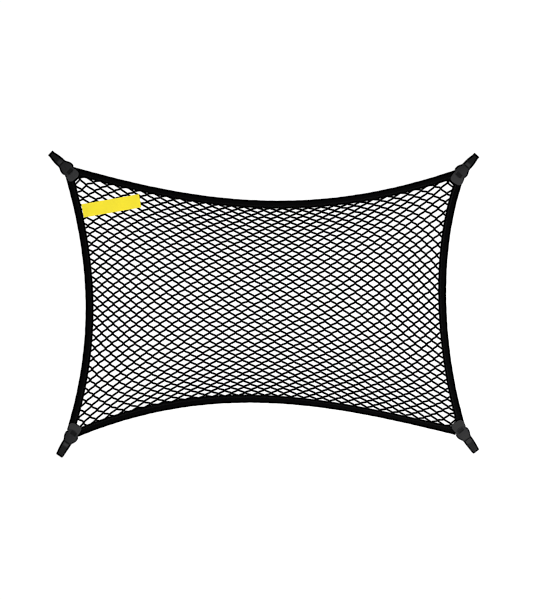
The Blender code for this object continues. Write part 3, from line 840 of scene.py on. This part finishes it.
# %% [markdown]
# ## The keepers
#
# A keeper is a moulded clamp: a plate above and a plate below the corner of the tape, joined at the
# hook's end. Its form is a pillow, round at the net's end and square at the hook's end, made by
# shrinking one outline towards its middle while the height runs over a rounded edge. A bevelled box
# would have four equal corners. Boxes are then cut out of the pillow for the tape, for the flat tail
# of the hook, and beside the end wall for the ears.

# %% Keepers
KEEPER_HALF_WIDTH = 15.3
KEEPER_END_HALF_WIDTH = 14.0
KEEPER_HEIGHT = 10.9
KEEPER_CROWN = 0.35
KEEPER_CORNER_RADIUS = 9.5
KEEPER_SQUARE_RADIUS = 1.3
KEEPER_EDGE = 2.0
CORNER_POINTS_A_QUARTER = 12
RIM_RINGS = 13
KEEPER_SHARP_DEG = 38.0
PLATE_SHARES = (0.2, 0.55, 0.85)
PLATE_BELOW = 2.2
SLOT_TOP = CORNER_LIFT + BINDING_HEIGHT + GAP
ANCHOR_HIGH = 8.9
ANCHOR_NECK_HALF_WIDTH = 3.2
ANCHOR_HEAD_HALF_WIDTH = 6.8
ANCHOR_HEAD_FROM = -23.5
ANCHOR_HEAD_TO = -18.5
FAR_AWAY = 40.0
#   the way over a keeper and round it, in metres
KEEPER_WAYS = (0.05, 0.09)
BOX_SIDES = [(0, 1, 3, 2), (4, 6, 7, 5), (0, 4, 5, 1), (2, 3, 7, 6), (0, 2, 6, 4), (1, 5, 7, 3)]


def keeper_outline():
    """Plan of a keeper: four arcs joined by straight lines, large at one end, small at the other."""
    large, small = KEEPER_CORNER_RADIUS, KEEPER_SQUARE_RADIUS
    outer = (KEEPER_OUTER_END - small, KEEPER_END_HALF_WIDTH - small, small)
    inner = (KEEPER_INNER_END + large, KEEPER_HALF_WIDTH - large, large)
    arcs = []
    corners = ((outer, 1, 0.0), (inner, 1, 90.0), (inner, -1, 180.0), (outer, -1, 270.0))
    for (x, y, radius), side, start in corners:
        angle = np.linspace(start, start + 90.0, CORNER_POINTS_A_QUARTER)
        arcs.append(np.array([x, side * y]) + radius * direction(angle).T)
    return np.concatenate(arcs)


def pillow(outline, height, edge, crown):
    """Rings from the middle of the underside, round the rim and up to the middle of the top."""
    middle = (outline.max(0) + outline.min(0)) / 2.0
    reach = np.linalg.norm(outline - middle, axis=-1)
    turn = np.radians(np.linspace(-90.0, 90.0, RIM_RINGS))
    inset = edge * (1.0 - np.cos(turn))
    level = np.where(turn < 0.0, edge * (1.0 + np.sin(turn)), height - edge * (1.0 - np.sin(turn)))
    rings = [((reach - edge) / reach * share, 0.0) for share in PLATE_SHARES]
    rings += [((reach - back) / reach, z) for back, z in zip(inset, level)]
    rings += [((reach - edge) / reach * share, height + crown * (1.0 - share ** 2))
              for share in PLATE_SHARES[::-1]]
    return np.array([with_height(middle + (outline - middle) * scale[:, None], z + 0.0 * reach)
                     for scale, z in rings])


def placed(points, dome, turn_deg):
    """Points turned about Z and moved to the middle of a clip's dome."""
    along, across = direction(turn_deg), -right_of(direction(turn_deg))
    plan = np.array(dome) + points[..., :1] * along + points[..., 1:2] * across
    return with_height(plan, points[..., 2])


def cut_boxes(piece, dome, boxes):
    """Cut boxes out of a piece. Each box is its two corners and its turn about the dome."""
    for low, high, turn_deg in boxes:
        x, y, z = np.meshgrid(*zip(low, high), indexing="ij")
        corners = placed(np.stack([x, y, z], -1).reshape(-1, 3), dome, turn_deg)
        mesh = bpy.data.meshes.new("cutter")
        mesh.from_pydata((corners * MM).tolist(), [], BOX_SIDES)
        cutter = bpy.data.objects.new("cutter", mesh)
        bpy.context.scene.collection.objects.link(cutter)
        step = piece.modifiers.new("cut", "BOOLEAN")
        step.operation = "DIFFERENCE"
        step.object = cutter
        bpy.context.view_layer.update()
        evaluated = piece.evaluated_get(bpy.context.evaluated_depsgraph_get())
        cut = bpy.data.meshes.new_from_object(evaluated)
        piece.modifiers.clear()
        piece.data = cut
        bpy.data.objects.remove(cutter, do_unlink=True)
    piece.data.shade_smooth()
    piece.data.set_sharp_from_angle(angle=math.radians(KEEPER_SHARP_DEG))


def add_moulding(name, rings, way_over, way_round, **options):
    """A closed piece of rings, whose places run evenly over it and round it."""
    rows, columns = rings.shape[:2]
    return add_grid(name, rings, np.linspace(0.0, way_over, rows),
                    np.linspace(0.0, way_round, columns + 1), close_ends=True, **options)


def make_keeper(corner, dome, keeper_turn, hook_turn):
    """A pillow, cut for the tape along the keeper's line and for the anchor along the hook's line."""
    rings = pillow(keeper_outline(), KEEPER_HEIGHT, KEEPER_EDGE, KEEPER_CROWN)
    keeper = add_moulding("clamp_" + corner, placed(rings, dome, keeper_turn), *KEEPER_WAYS)
    head, neck = ANCHOR_HEAD_HALF_WIDTH + GAP, ANCHOR_NECK_HALF_WIDTH + GAP
    low, high = SLOT_TOP - GAP, ANCHOR_HIGH + GAP
    wall, beside = END_WALL_HALF_WIDTH, -FAR_AWAY / 2.0
    cut_boxes(keeper, dome, [
        ((-FAR_AWAY, -FAR_AWAY, PLATE_BELOW), (WALL_FACE, FAR_AWAY, SLOT_TOP), keeper_turn),
        ((ANCHOR_HEAD_FROM - GAP, -head, low), (ANCHOR_HEAD_TO + GAP, head, high), hook_turn),
        ((ANCHOR_HEAD_TO - GAP, -neck, low), (0.0, neck, high), hook_turn),
        ((beside, wall, PLATE_BELOW), (0.0, FAR_AWAY, SLOT_TOP), keeper_turn),
        ((beside, -FAR_AWAY, PLATE_BELOW), (0.0, -wall, SLOT_TOP), keeper_turn),
    ])
    return keeper


keepers = {clip[0]: make_keeper(*clip[:4]) for clip in CLIPS}

# %% [markdown]
# ## The hooks
#
# A hook is one moulding: a domed body, a groove and a ridge where the arm starts, a tapered arm, and
# a return leg curled back under it. Its section is a box with round corners and a crowned top, and
# the sizes of that box run along the hook as smooth curves through a few stations. The recess at the
# back of the dome is pressed into the crown as a soft-edged box. Simple solids joined together would
# show hard lines where they meet, and a moulding has none. Light and shade are painted into the
# plastic's colour: painted shade in the recess, in the groove and along the arm, and painted
# highlights on the edges and the ridge.

# %% Hook sections
HOOK_HEIGHT = 13.5
HOOK_LENGTH = 52.0
ARM_THICKNESS = 4.1
RETURN_THICKNESS = 3.6
RETURN_END = 27.0
TIP_HALF_WIDTH = 7.6
#   the way over a hook and round it, in metres
HOOK_WAYS = (0.1, 0.06)
HOOK_SHARP_DEG = 42.0
ROLL_START = 14.0
ROLL_FULL = 34.0
RECESS_MIDDLE = -9.8
RECESS_HALF_LENGTH = 4.3
RECESS_HALF_WIDTH = 7.3
RECESS_FLOOR = 11.5
RECESS_RIM = 1.6
#     painted light and shade: what the plastic's tone is multiplied by, and where
# painted shade that darkens the recess behind the dome
RECESS_PAINTED_SHADE = 0.42
# painted shade that darkens the groove where the arm starts
GROOVE_PAINTED_SHADE = 0.05
GROOVE_PLACE = (15.9, 1.6, 7.5)
# painted highlight that pales the ridge where the arm starts
RIDGE_PAINTED_HIGHLIGHT = 4.6
RIDGE_PLACE = (22.0, 3.0, 6.0)
# painted shade along the arm, and less of it on the rolled arms, painted as if they caught more lamp
ARM_FROM = 15.0
ARM_TO = 22.0
ARM_PAINTED_SHADE = 0.36
ROLLED_ARM_PAINTED_SHADE = 0.52
# painted highlight that pales the hook's edges
EDGE_WIDTH = 1.6
EDGE_PAINTED_HIGHLIGHT = 1.5
#   points round a ring, and the form of its corners and crown
CORNER_POINTS_A_RING = 6
TOP_POINTS = 45
MOST_ROUNDING = 0.45
CROWN_POWER = 0.8
FLAT_CROWN = 0.02
#   along  half width  low   high  crown  corner radius
LID = [
    (-16.6, 3.4, 11.2, 12.2, 0.1, 0.4),
    (-15.9, 5.9, 11.2, 12.5, 0.3, 0.5),
    (-15.0, 7.8, 11.2, 12.7, 0.4, 0.6),
    (-12.0, 11.8, 11.2, 13.1, 0.9, 0.7),
    (-7.3, 14.2, 11.2, 13.4, 1.4, 0.8),
]
BODY = [
    (-7.2, 14.7, 0.0, 13.5, 1.5, 1.6),
    (-6.2, 15.4, 0.0, 13.6, 1.7, 1.7),
    (-3.0, 16.2, 0.0, 13.7, 2.3, 1.8),
    (1.5, 16.1, 0.0, 13.7, 2.7, 1.9),
    (6.0, 14.8, 0.0, 13.4, 2.6, 1.9),
    (10.0, 12.8, 0.0, 12.9, 2.2, 1.7),
    (13.5, 11.1, 0.4, 12.2, 1.5, 1.5),
    (16.2, 10.7, 2.4, 11.6, 0.8, 1.2),
    (18.0, 10.6, 5.6, 12.6, 0.9, 1.3),
    (19.6, 10.6, 7.4, 13.1, 0.9, 1.4),
    (22.0, 10.7, 8.7, 12.6, 0.6, 1.3),
    (28.0, 10.4, 9.3, 12.9, 0.5, 1.2),
    (37.0, 9.3, 9.4, 13.3, 0.4, 1.2),
    (45.2, 7.7, 9.4, 13.5, 0.1, 1.2),
]
LID_RINGS = np.concatenate([[-16.6, -16.3], np.arange(-16.0, -7.4, 0.3), [-7.3]])
BODY_RINGS = np.concatenate([np.arange(-7.2, 22.0, 0.6), np.arange(22.0, 45.0, 1.2), [45.2]])
BEND_RINGS = 15
BEND_CORNER = 1.1
#   rings of the return leg, from its end, and the lip and the rounding there
RETURN_RINGS = np.array([17.0, 14.0, 11.0, 8.0, 6.0, 4.0, 2.6, 1.6, 0.8, 0.25, 0.0])
RETURN_CORNER = 1.0
LIP_HEIGHT = 0.7
LIP_PLACE = 2.2
LIP_HALF_WIDTH = 1.5
END_ROUNDING = 1.2
END_NARROWING = 1.1
END_RISE = 0.9
END_DROP = 0.7


def through(stations, along):
    """Each size at each place along the hook, from cubic curves through the stations. Where a size
    turns, its slope is zero, so that no curve swings past its station."""
    table = np.array(stations)
    x, values = table[:, 0], table[:, 1:]
    slopes = np.gradient(values, x, axis=0)
    steps = np.diff(values, axis=0) / np.diff(x)[:, None]
    slopes[1:-1][steps[:-1] * steps[1:] <= 0.0] = 0.0
    slot = np.clip(np.searchsorted(x, along, side="right") - 1, 0, len(x) - 2)
    width = (x[slot + 1] - x[slot])[:, None]
    t = (along - x[slot])[:, None] / width
    return ((2 * t ** 3 - 3 * t ** 2 + 1) * values[slot]
            + (t ** 3 - 2 * t ** 2 + t) * width * slopes[slot]
            + (3 * t ** 2 - 2 * t ** 3) * values[slot + 1]
            + (t ** 3 - t ** 2) * width * slopes[slot + 1])


def section(half_width, low, high, crown, radius):
    """Closed section of a ring: four corner arcs, with a crown over the top that falls off as
    (1 - s^2) to a power. It gives across and out for each point, one row a ring."""
    sizes = np.broadcast_arrays(half_width, low, high, crown, radius)
    half_width, low, high, crown, radius = (size[:, None] for size in sizes)
    shoulder = high - crown
    radius = np.minimum(radius, MOST_ROUNDING * (shoulder - low))
    across, out = [], []
    for side, start, middle in ((1, -90.0, low + radius), (1, 0.0, shoulder - radius),
                                (-1, 90.0, shoulder - radius), (-1, 180.0, low + radius)):
        angle = np.radians(np.linspace(start, start + 90.0, CORNER_POINTS_A_RING))
        across.append(side * (half_width - radius) + radius * np.cos(angle))
        out.append(middle + radius * np.sin(angle))
        if start == 0.0:
            share = np.linspace(1.0, -1.0, TOP_POINTS + 2)[1:-1]
            across.append((half_width - radius) * share)
            out.append(shoulder + crown * (1.0 - share ** 2) ** CROWN_POWER)
    return np.concatenate(across, 1), np.concatenate(out, 1)


def recess_mask(points):
    """1 over the recess behind the dome and 0 outside it, with a soft step at its rim: where the recess
    is pressed in and where its painted shade goes.
    """
    along, across = np.abs(points[..., 0] - RECESS_MIDDLE), np.abs(points[..., 1])
    inside = (smoothstep((RECESS_HALF_LENGTH - along) / RECESS_RIM + 0.5)
              * smoothstep((RECESS_HALF_WIDTH - across) / RECESS_RIM + 0.5))
    return inside * (points[..., 2] > RECESS_FLOOR)


def band(along, across, place):
    """1 at the middle of a band across the hook, from its middle, half length and half width."""
    middle, half_length, half_width = place
    return np.exp(-((along - middle) / half_length) ** 2 - (across / half_width) ** 4)


def hook_shade(points, arm_shade):
    """The plastic's painted light, a product of factors: painted shade in the recess, in the groove and
    along the arm, and painted highlights on the edges and the ridge."""
    along, across = points[..., 0], np.abs(points[..., 1])
    edge = smoothstep((across - across.max(axis=1, keepdims=True) + EDGE_WIDTH) / EDGE_WIDTH)
    arm = smoothstep((along - ARM_FROM) / (ARM_TO - ARM_FROM))
    tone = np.ones_like(along)
    for amount, shade in ((recess_mask(points), RECESS_PAINTED_SHADE), (edge, EDGE_PAINTED_HIGHLIGHT), (arm, arm_shade),
                          (band(along, across, GROOVE_PLACE), GROOVE_PAINTED_SHADE),
                          (band(along, across, RIDGE_PLACE), RIDGE_PAINTED_HIGHLIGHT)):
        tone = tone * (1.0 + (shade - 1.0) * amount)
    return tone


def hook_grid(arm_shade):
    """Rings over the lid, the dome and the arm, round the bend and back along the return leg."""
    rings = []
    for stations, along in ((LID, LID_RINGS), (BODY, BODY_RINGS)):
        across, out = section(*through(stations, along).T)
        rings.append(np.stack([along[:, None] + 0.0 * out, across, out], -1))
    radius = HOOK_HEIGHT / 2.0
    share = np.linspace(0.0, 1.0, BEND_RINGS)
    normal = direction(90.0 - 180.0 * share)[..., None]
    thickness = ARM_THICKNESS + (RETURN_THICKNESS - ARM_THICKNESS) * share
    across, out = section(TIP_HALF_WIDTH, radius - thickness, radius, FLAT_CROWN, BEND_CORNER)
    rings.append(np.stack([HOOK_LENGTH - radius + normal[0] * out, across,
                           radius + normal[1] * out], -1))
    lip = LIP_HEIGHT * bell(RETURN_RINGS - LIP_PLACE, LIP_HALF_WIDTH)
    end = smoothstep(1.0 - RETURN_RINGS / END_ROUNDING)
    across, out = section(TIP_HALF_WIDTH - END_NARROWING * end,
                          radius - RETURN_THICKNESS - lip + END_RISE * end,
                          radius - END_DROP * end, FLAT_CROWN, RETURN_CORNER)
    rings.append(np.stack([RETURN_END + RETURN_RINGS[:, None] + 0.0 * out, across, radius - out], -1))
    points = np.concatenate(rings)
    # painted light and shade of every point, taken before the recess is pressed in
    shade = hook_shade(points, arm_shade)
    points[..., 2] -= (points[..., 2] - RECESS_FLOOR) * recess_mask(points)
    return points, shade


def rolled(points, roll_deg):
    """Shear the arm sideways below its top, as if the hook leant over: depth times tan(roll)."""
    share = smoothstep((points[..., 0] - ROLL_START) / (ROLL_FULL - ROLL_START))
    leaning = points.copy()
    leaning[..., 1] += (HOOK_HEIGHT - points[..., 2]) * math.tan(math.radians(roll_deg)) * share
    return leaning


def make_hook(corner, dome, _, hook_turn, roll_deg):
    """The hook's rings in their place, with its two ends closed."""
    # the rolled arms get less painted shade, as if they caught more of the lamp
    points, shade = hook_grid(ROLLED_ARM_PAINTED_SHADE if roll_deg else ARM_PAINTED_SHADE)
    rings = placed(rolled(points, roll_deg), dome, hook_turn)
    return add_moulding("snap_hook_" + corner, rings, *HOOK_WAYS, sharp_degrees=HOOK_SHARP_DEG,
                        shade=shade)


hooks = {clip[0]: make_hook(*clip) for clip in CLIPS}

# %% [markdown]
# ## Materials
#
# Cloth is matt and nearly black, so its form shows in the weave: a bump that follows the cloth's own
# lengths, and painted shade that darkens the hollows of the knit and the weave. Plastic has a fine
# moulded grain, a soft sheen that varies from place to place, and edges that are worn a little paler.
# The tag is an even yellow with a faint weave and faint soiling. All of these are patterns worked out
# by nodes, which stay sharp in a close view where a picture blurs.

# %% Shared material steps
MIX_SOCKETS = (0, 6, 7)


def cloth_place(tree, along, across):
    """The cloth's own lengths, scaled to repeats a metre in each direction."""
    place = add_node(tree, "ShaderNodeUVMap", uv_map="cloth")
    scale = add_node(tree, "ShaderNodeVectorMath", operation="MULTIPLY")
    return fill(scale, {0: place.outputs["UV"], 1: (along, across, 1.0)}).outputs["Vector"]


def object_noise(tree, scale, detail=2.0):
    """Smooth noise fixed in the object, in repeats a metre."""
    place = add_node(tree, "ShaderNodeTexCoord")
    return add_node(tree, "ShaderNodeTexNoise", {
        "Vector": place.outputs["Object"], "Scale": scale, "Detail": detail}).outputs["Fac"]


def blended(tree, amount, low, high):
    """A value that runs from low to high as an amount runs from 0 to 1."""
    return add_node(tree, "ShaderNodeMapRange", {
        "Value": amount, "To Min": low, "To Max": high}).outputs["Result"]


def mixed_colour(tree, amount, low, high):
    """A colour that runs from low to high as an amount runs from 0 to 1: each is a link or RGB."""
    ends = [(*end, 1.0) if isinstance(end, tuple) else end for end in (low, high)]
    mix = add_node(tree, "ShaderNodeMix", data_type="RGBA")
    return fill(mix, dict(zip(MIX_SOCKETS, (amount, *ends)))).outputs[2]


def scaled(colour, factor):
    """A colour that is brighter or darker by a factor."""
    return tuple(factor * part for part in colour)


def math_of(tree, operation, *values):
    """One arithmetic step on one or two values."""
    step = add_node(tree, "ShaderNodeMath", operation=operation)
    return fill(step, dict(enumerate(values))).outputs[0]


def rib_height(tree, place, axis):
    """Round ribs along one axis of a scaled place: a sine's size, which is high between grooves."""
    split = add_node(tree, "ShaderNodeSeparateXYZ", {"Vector": place})
    turned = math_of(tree, "MULTIPLY", split.outputs[axis], math.pi)
    return math_of(tree, "ABSOLUTE", math_of(tree, "SINE", turned))


def bump(tree, height, depth, strength, **below):
    """Relief from a height, on top of an earlier relief if one is given as Normal. The depth is in
    metres."""
    return add_node(tree, "ShaderNodeBump", {
        "Height": height, "Distance": depth, "Strength": strength, **below}).outputs["Normal"]


def finish(shader, colour, roughness, specular, relief):
    """Give the main shader its colour, gloss and relief."""
    if isinstance(colour, tuple):
        colour = (*colour, 1.0)
    fill(shader, {"Base Color": colour, "Roughness": roughness, "Specular IOR Level": specular,
                  "Normal": relief})


print("material steps are ready")

# %% Cloth materials
# the colour of the painted shade in the hollows of the knit
YARN_PAINTED_SHADE = (0.0012, 0.0012, 0.0013)
YARN_BLACK = (0.0018, 0.0018, 0.0019)
# the colour of the painted shade in the weave's hollows, and of the darker fuzz
TAPE_PAINTED_SHADE_AND_FUZZ = (0.0005, 0.0005, 0.0006)
TAPE_BLACK = (0.0018, 0.0018, 0.0019)
THREAD_BLACK = (0.004, 0.004, 0.0042)
TAG_YELLOW = (0.795, 0.695, 0.055)
TAG_SOILED = (0.765, 0.66, 0.06)
#   repeats a metre: along a cord and round it, then along the tape and across it, and so on
COURSES_A_METRE = 780.0
LOOPS_A_METRE = 430.0
LOOP_LEAN_DEG = -35.0
TAPE_PICKS_A_METRE = 900.0
TAPE_RIBS_A_METRE = 1150.0
PICK_DEPTH = 0.55
FUZZ_A_METRE = 420.0
TWIST_A_METRE = (1800.0, 1200.0)
TAG_WEAVE_A_METRE = 1600.0
TAG_MOTTLES_A_METRE = 55.0
TAG_DENTS_A_METRE = 130.0


def yarn_material():
    """Knitted cord: slanting loops along it, from ribs on a place that leans as it goes round. Its
    colour has painted shade in the hollows between the loops.
    """
    made, tree, shader = new_material("net_yarn")
    leaning = add_node(tree, "ShaderNodeVectorRotate", rotation_type="Z_AXIS")
    fill(leaning, {"Vector": cloth_place(tree, 0.0, LOOPS_A_METRE),
                   "Angle": math.radians(LOOP_LEAN_DEG)})
    place = add_node(tree, "ShaderNodeVectorMath", operation="ADD")
    fill(place, {0: cloth_place(tree, COURSES_A_METRE, 0.0), 1: leaning.outputs["Vector"]})
    loops = rib_height(tree, place.outputs["Vector"], "X")
    finish(shader, mixed_colour(tree, loops, YARN_PAINTED_SHADE, YARN_BLACK), roughness=0.9, specular=0.02,
           relief=bump(tree, loops, depth=0.00022, strength=0.8))
    return made


def tape_material():
    """Woven elastic: ribs along the tape, broken into short floats by the picks across it. Its
    colour has painted shade in the hollows of the weave, varied by random fuzz.
    """
    made, tree, shader = new_material("elastic_tape")
    place = cloth_place(tree, TAPE_PICKS_A_METRE, TAPE_RIBS_A_METRE)
    picks = math_of(tree, "MULTIPLY", rib_height(tree, place, "X"), PICK_DEPTH)
    weave = math_of(tree, "MULTIPLY", rib_height(tree, place, "Y"),
                    math_of(tree, "ADD", picks, 1.0 - PICK_DEPTH))
    fuzz = object_noise(tree, FUZZ_A_METRE, 3.0)
    amount = math_of(tree, "MULTIPLY", weave, blended(tree, fuzz, 0.4, 1.3))
    woven = bump(tree, weave, depth=0.00016, strength=0.8)
    finish(shader, mixed_colour(tree, amount, TAPE_PAINTED_SHADE_AND_FUZZ, TAPE_BLACK), roughness=0.75, specular=0.014,
           relief=bump(tree, fuzz, depth=0.0003, strength=0.35, Normal=woven))
    return made


def thread_material():
    """Polyester thread: black with a faint shine and a fine twist."""
    made, tree, shader = new_material("seam_thread")
    twist = rib_height(tree, cloth_place(tree, *TWIST_A_METRE), "X")
    finish(shader, THREAD_BLACK, roughness=0.55, specular=0.08,
           relief=bump(tree, twist, depth=0.00006, strength=0.6))
    return made


def tag_material():
    """Coated cloth: a fine plain weave, broad faint mottling and slight soiling."""
    made, tree, shader = new_material("tag_cloth")
    place = cloth_place(tree, TAG_WEAVE_A_METRE, TAG_WEAVE_A_METRE)
    weave = math_of(tree, "MULTIPLY", rib_height(tree, place, "X"), rib_height(tree, place, "Y"))
    soiling = blended(tree, object_noise(tree, TAG_MOTTLES_A_METRE, 4.0), -0.6, 1.1)
    woven = bump(tree, weave, depth=0.00006, strength=0.5)
    dents = object_noise(tree, TAG_DENTS_A_METRE)
    finish(shader, mixed_colour(tree, soiling, TAG_YELLOW, TAG_SOILED), roughness=0.62, specular=0.25,
           relief=bump(tree, dents, depth=0.0008, strength=0.25, Normal=woven))
    return made


yarn = yarn_material()
tape = tape_material()
thread = thread_material()
tag_cloth = tag_material()
print("cloth materials:", [made.name for made in (yarn, tape, thread, tag_cloth)])

# %% [markdown]
# ### Moulded plastic
#
# Both plastics share one recipe. Fine noise gives the moulded grain, broad noise varies the sheen,
# and a rounded normal compared with the plain one finds the edges, which handling has rubbed paler.
# The hook's colour is also multiplied by the painted light and shade that its points carry.

# %% Plastic materials
KEEPER_GREY = (0.025, 0.025, 0.0262)
HOOK_BLACK = (0.0158, 0.0158, 0.0166)
GRAIN_A_METRE = 1500.0
GRAIN_DEPTH = 0.00010
SHEEN_PATCHES_A_METRE = 90.0
#   how far the roughness goes under and over its middle value
SHEEN_UNDER = 0.08
SHEEN_OVER = 0.12
DUST_A_METRE = 340.0
DARK_SPECK = 0.82
PALE_SPECK = 1.22
EDGE_RADIUS = 0.0009
WEAR_GAIN = 5.0
WEAR_PALER = 1.7


def plastic_material(name, colour, grain, sheen, specular, shaded):
    """Moulded plastic with grain, uneven sheen, faint dust, rubbed edges and, if asked, painted light.
    """
    made, tree, shader = new_material(name)
    broad = object_noise(tree, SHEEN_PATCHES_A_METRE, 3.0)
    dust = blended(tree, object_noise(tree, DUST_A_METRE, 4.0), -0.35, 1.35)
    rounded = add_node(tree, "ShaderNodeBevel", {"Radius": EDGE_RADIUS}, samples=4)
    plain = add_node(tree, "ShaderNodeNewGeometry")
    alike = add_node(tree, "ShaderNodeVectorMath", operation="DOT_PRODUCT")
    fill(alike, {0: rounded.outputs["Normal"], 1: plain.outputs["Normal"]})
    edge = math_of(tree, "MULTIPLY",
                   math_of(tree, "SUBTRACT", 1.0, alike.outputs["Value"]), WEAR_GAIN)
    wear = math_of(tree, "MULTIPLY", edge, blended(tree, broad, 0.0, 1.0))
    wear.node.use_clamp = True
    body = mixed_colour(tree, dust, scaled(colour, DARK_SPECK), scaled(colour, PALE_SPECK))
    tone = mixed_colour(tree, wear, body, scaled(colour, WEAR_PALER))
    # the hook's painted light and shade: darker in its hollows and along the arm, paler on edges and
    # ridge
    if shaded:
        shade = add_node(tree, "ShaderNodeAttribute", attribute_name="shade")
        painted_light_scale = add_node(tree, "ShaderNodeVectorMath", operation="SCALE")
        tone = fill(painted_light_scale, {0: tone, "Scale": shade.outputs["Fac"]}).outputs["Vector"]
    relief = bump(tree, object_noise(tree, GRAIN_A_METRE), GRAIN_DEPTH, grain)
    finish(shader, tone, blended(tree, broad, sheen - SHEEN_UNDER, sheen + SHEEN_OVER), specular, relief)
    return made


keeper_plastic = plastic_material("keeper_plastic", KEEPER_GREY, grain=0.35, sheen=0.55,
                                  specular=0.10, shaded=False)
hook_plastic = plastic_material("hook_plastic", HOOK_BLACK, grain=0.2, sheen=0.48,
                                specular=0.03, shaded=True)
print("plastic materials:", [made.name for made in (keeper_plastic, hook_plastic)])

# %% [markdown]
# ## Dress the pieces
#
# Each piece gets its material and the solid that it stands for.


def dress(piece, material, slot, *nodes):
    """One material for a piece, and the solids that it stands for. The slot is not used."""
    piece.data.materials.clear()
    piece.data.materials.append(material)
    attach(piece, "root")
    if nodes:
        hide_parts(*nodes)
    print(f"{piece.name}: {material.name}")


for half in (netting_left, netting_right):
    dress(half, yarn, "net_yarn", "netting")
dress(binding, tape, "elastic_tape", "binding")
for seam in (seam_top, seam_under):
    dress(seam, thread, "elastic_tape")
dress(tag, tag_cloth, "tag_cloth", "tag")
for corner in CORNER_POINTS:
    dress(keepers[corner], keeper_plastic, "keeper_plastic", "keeper_" + corner)
for corner in CORNER_POINTS:
    dress(hooks[corner], hook_plastic, "hook_plastic", "hook_" + corner)
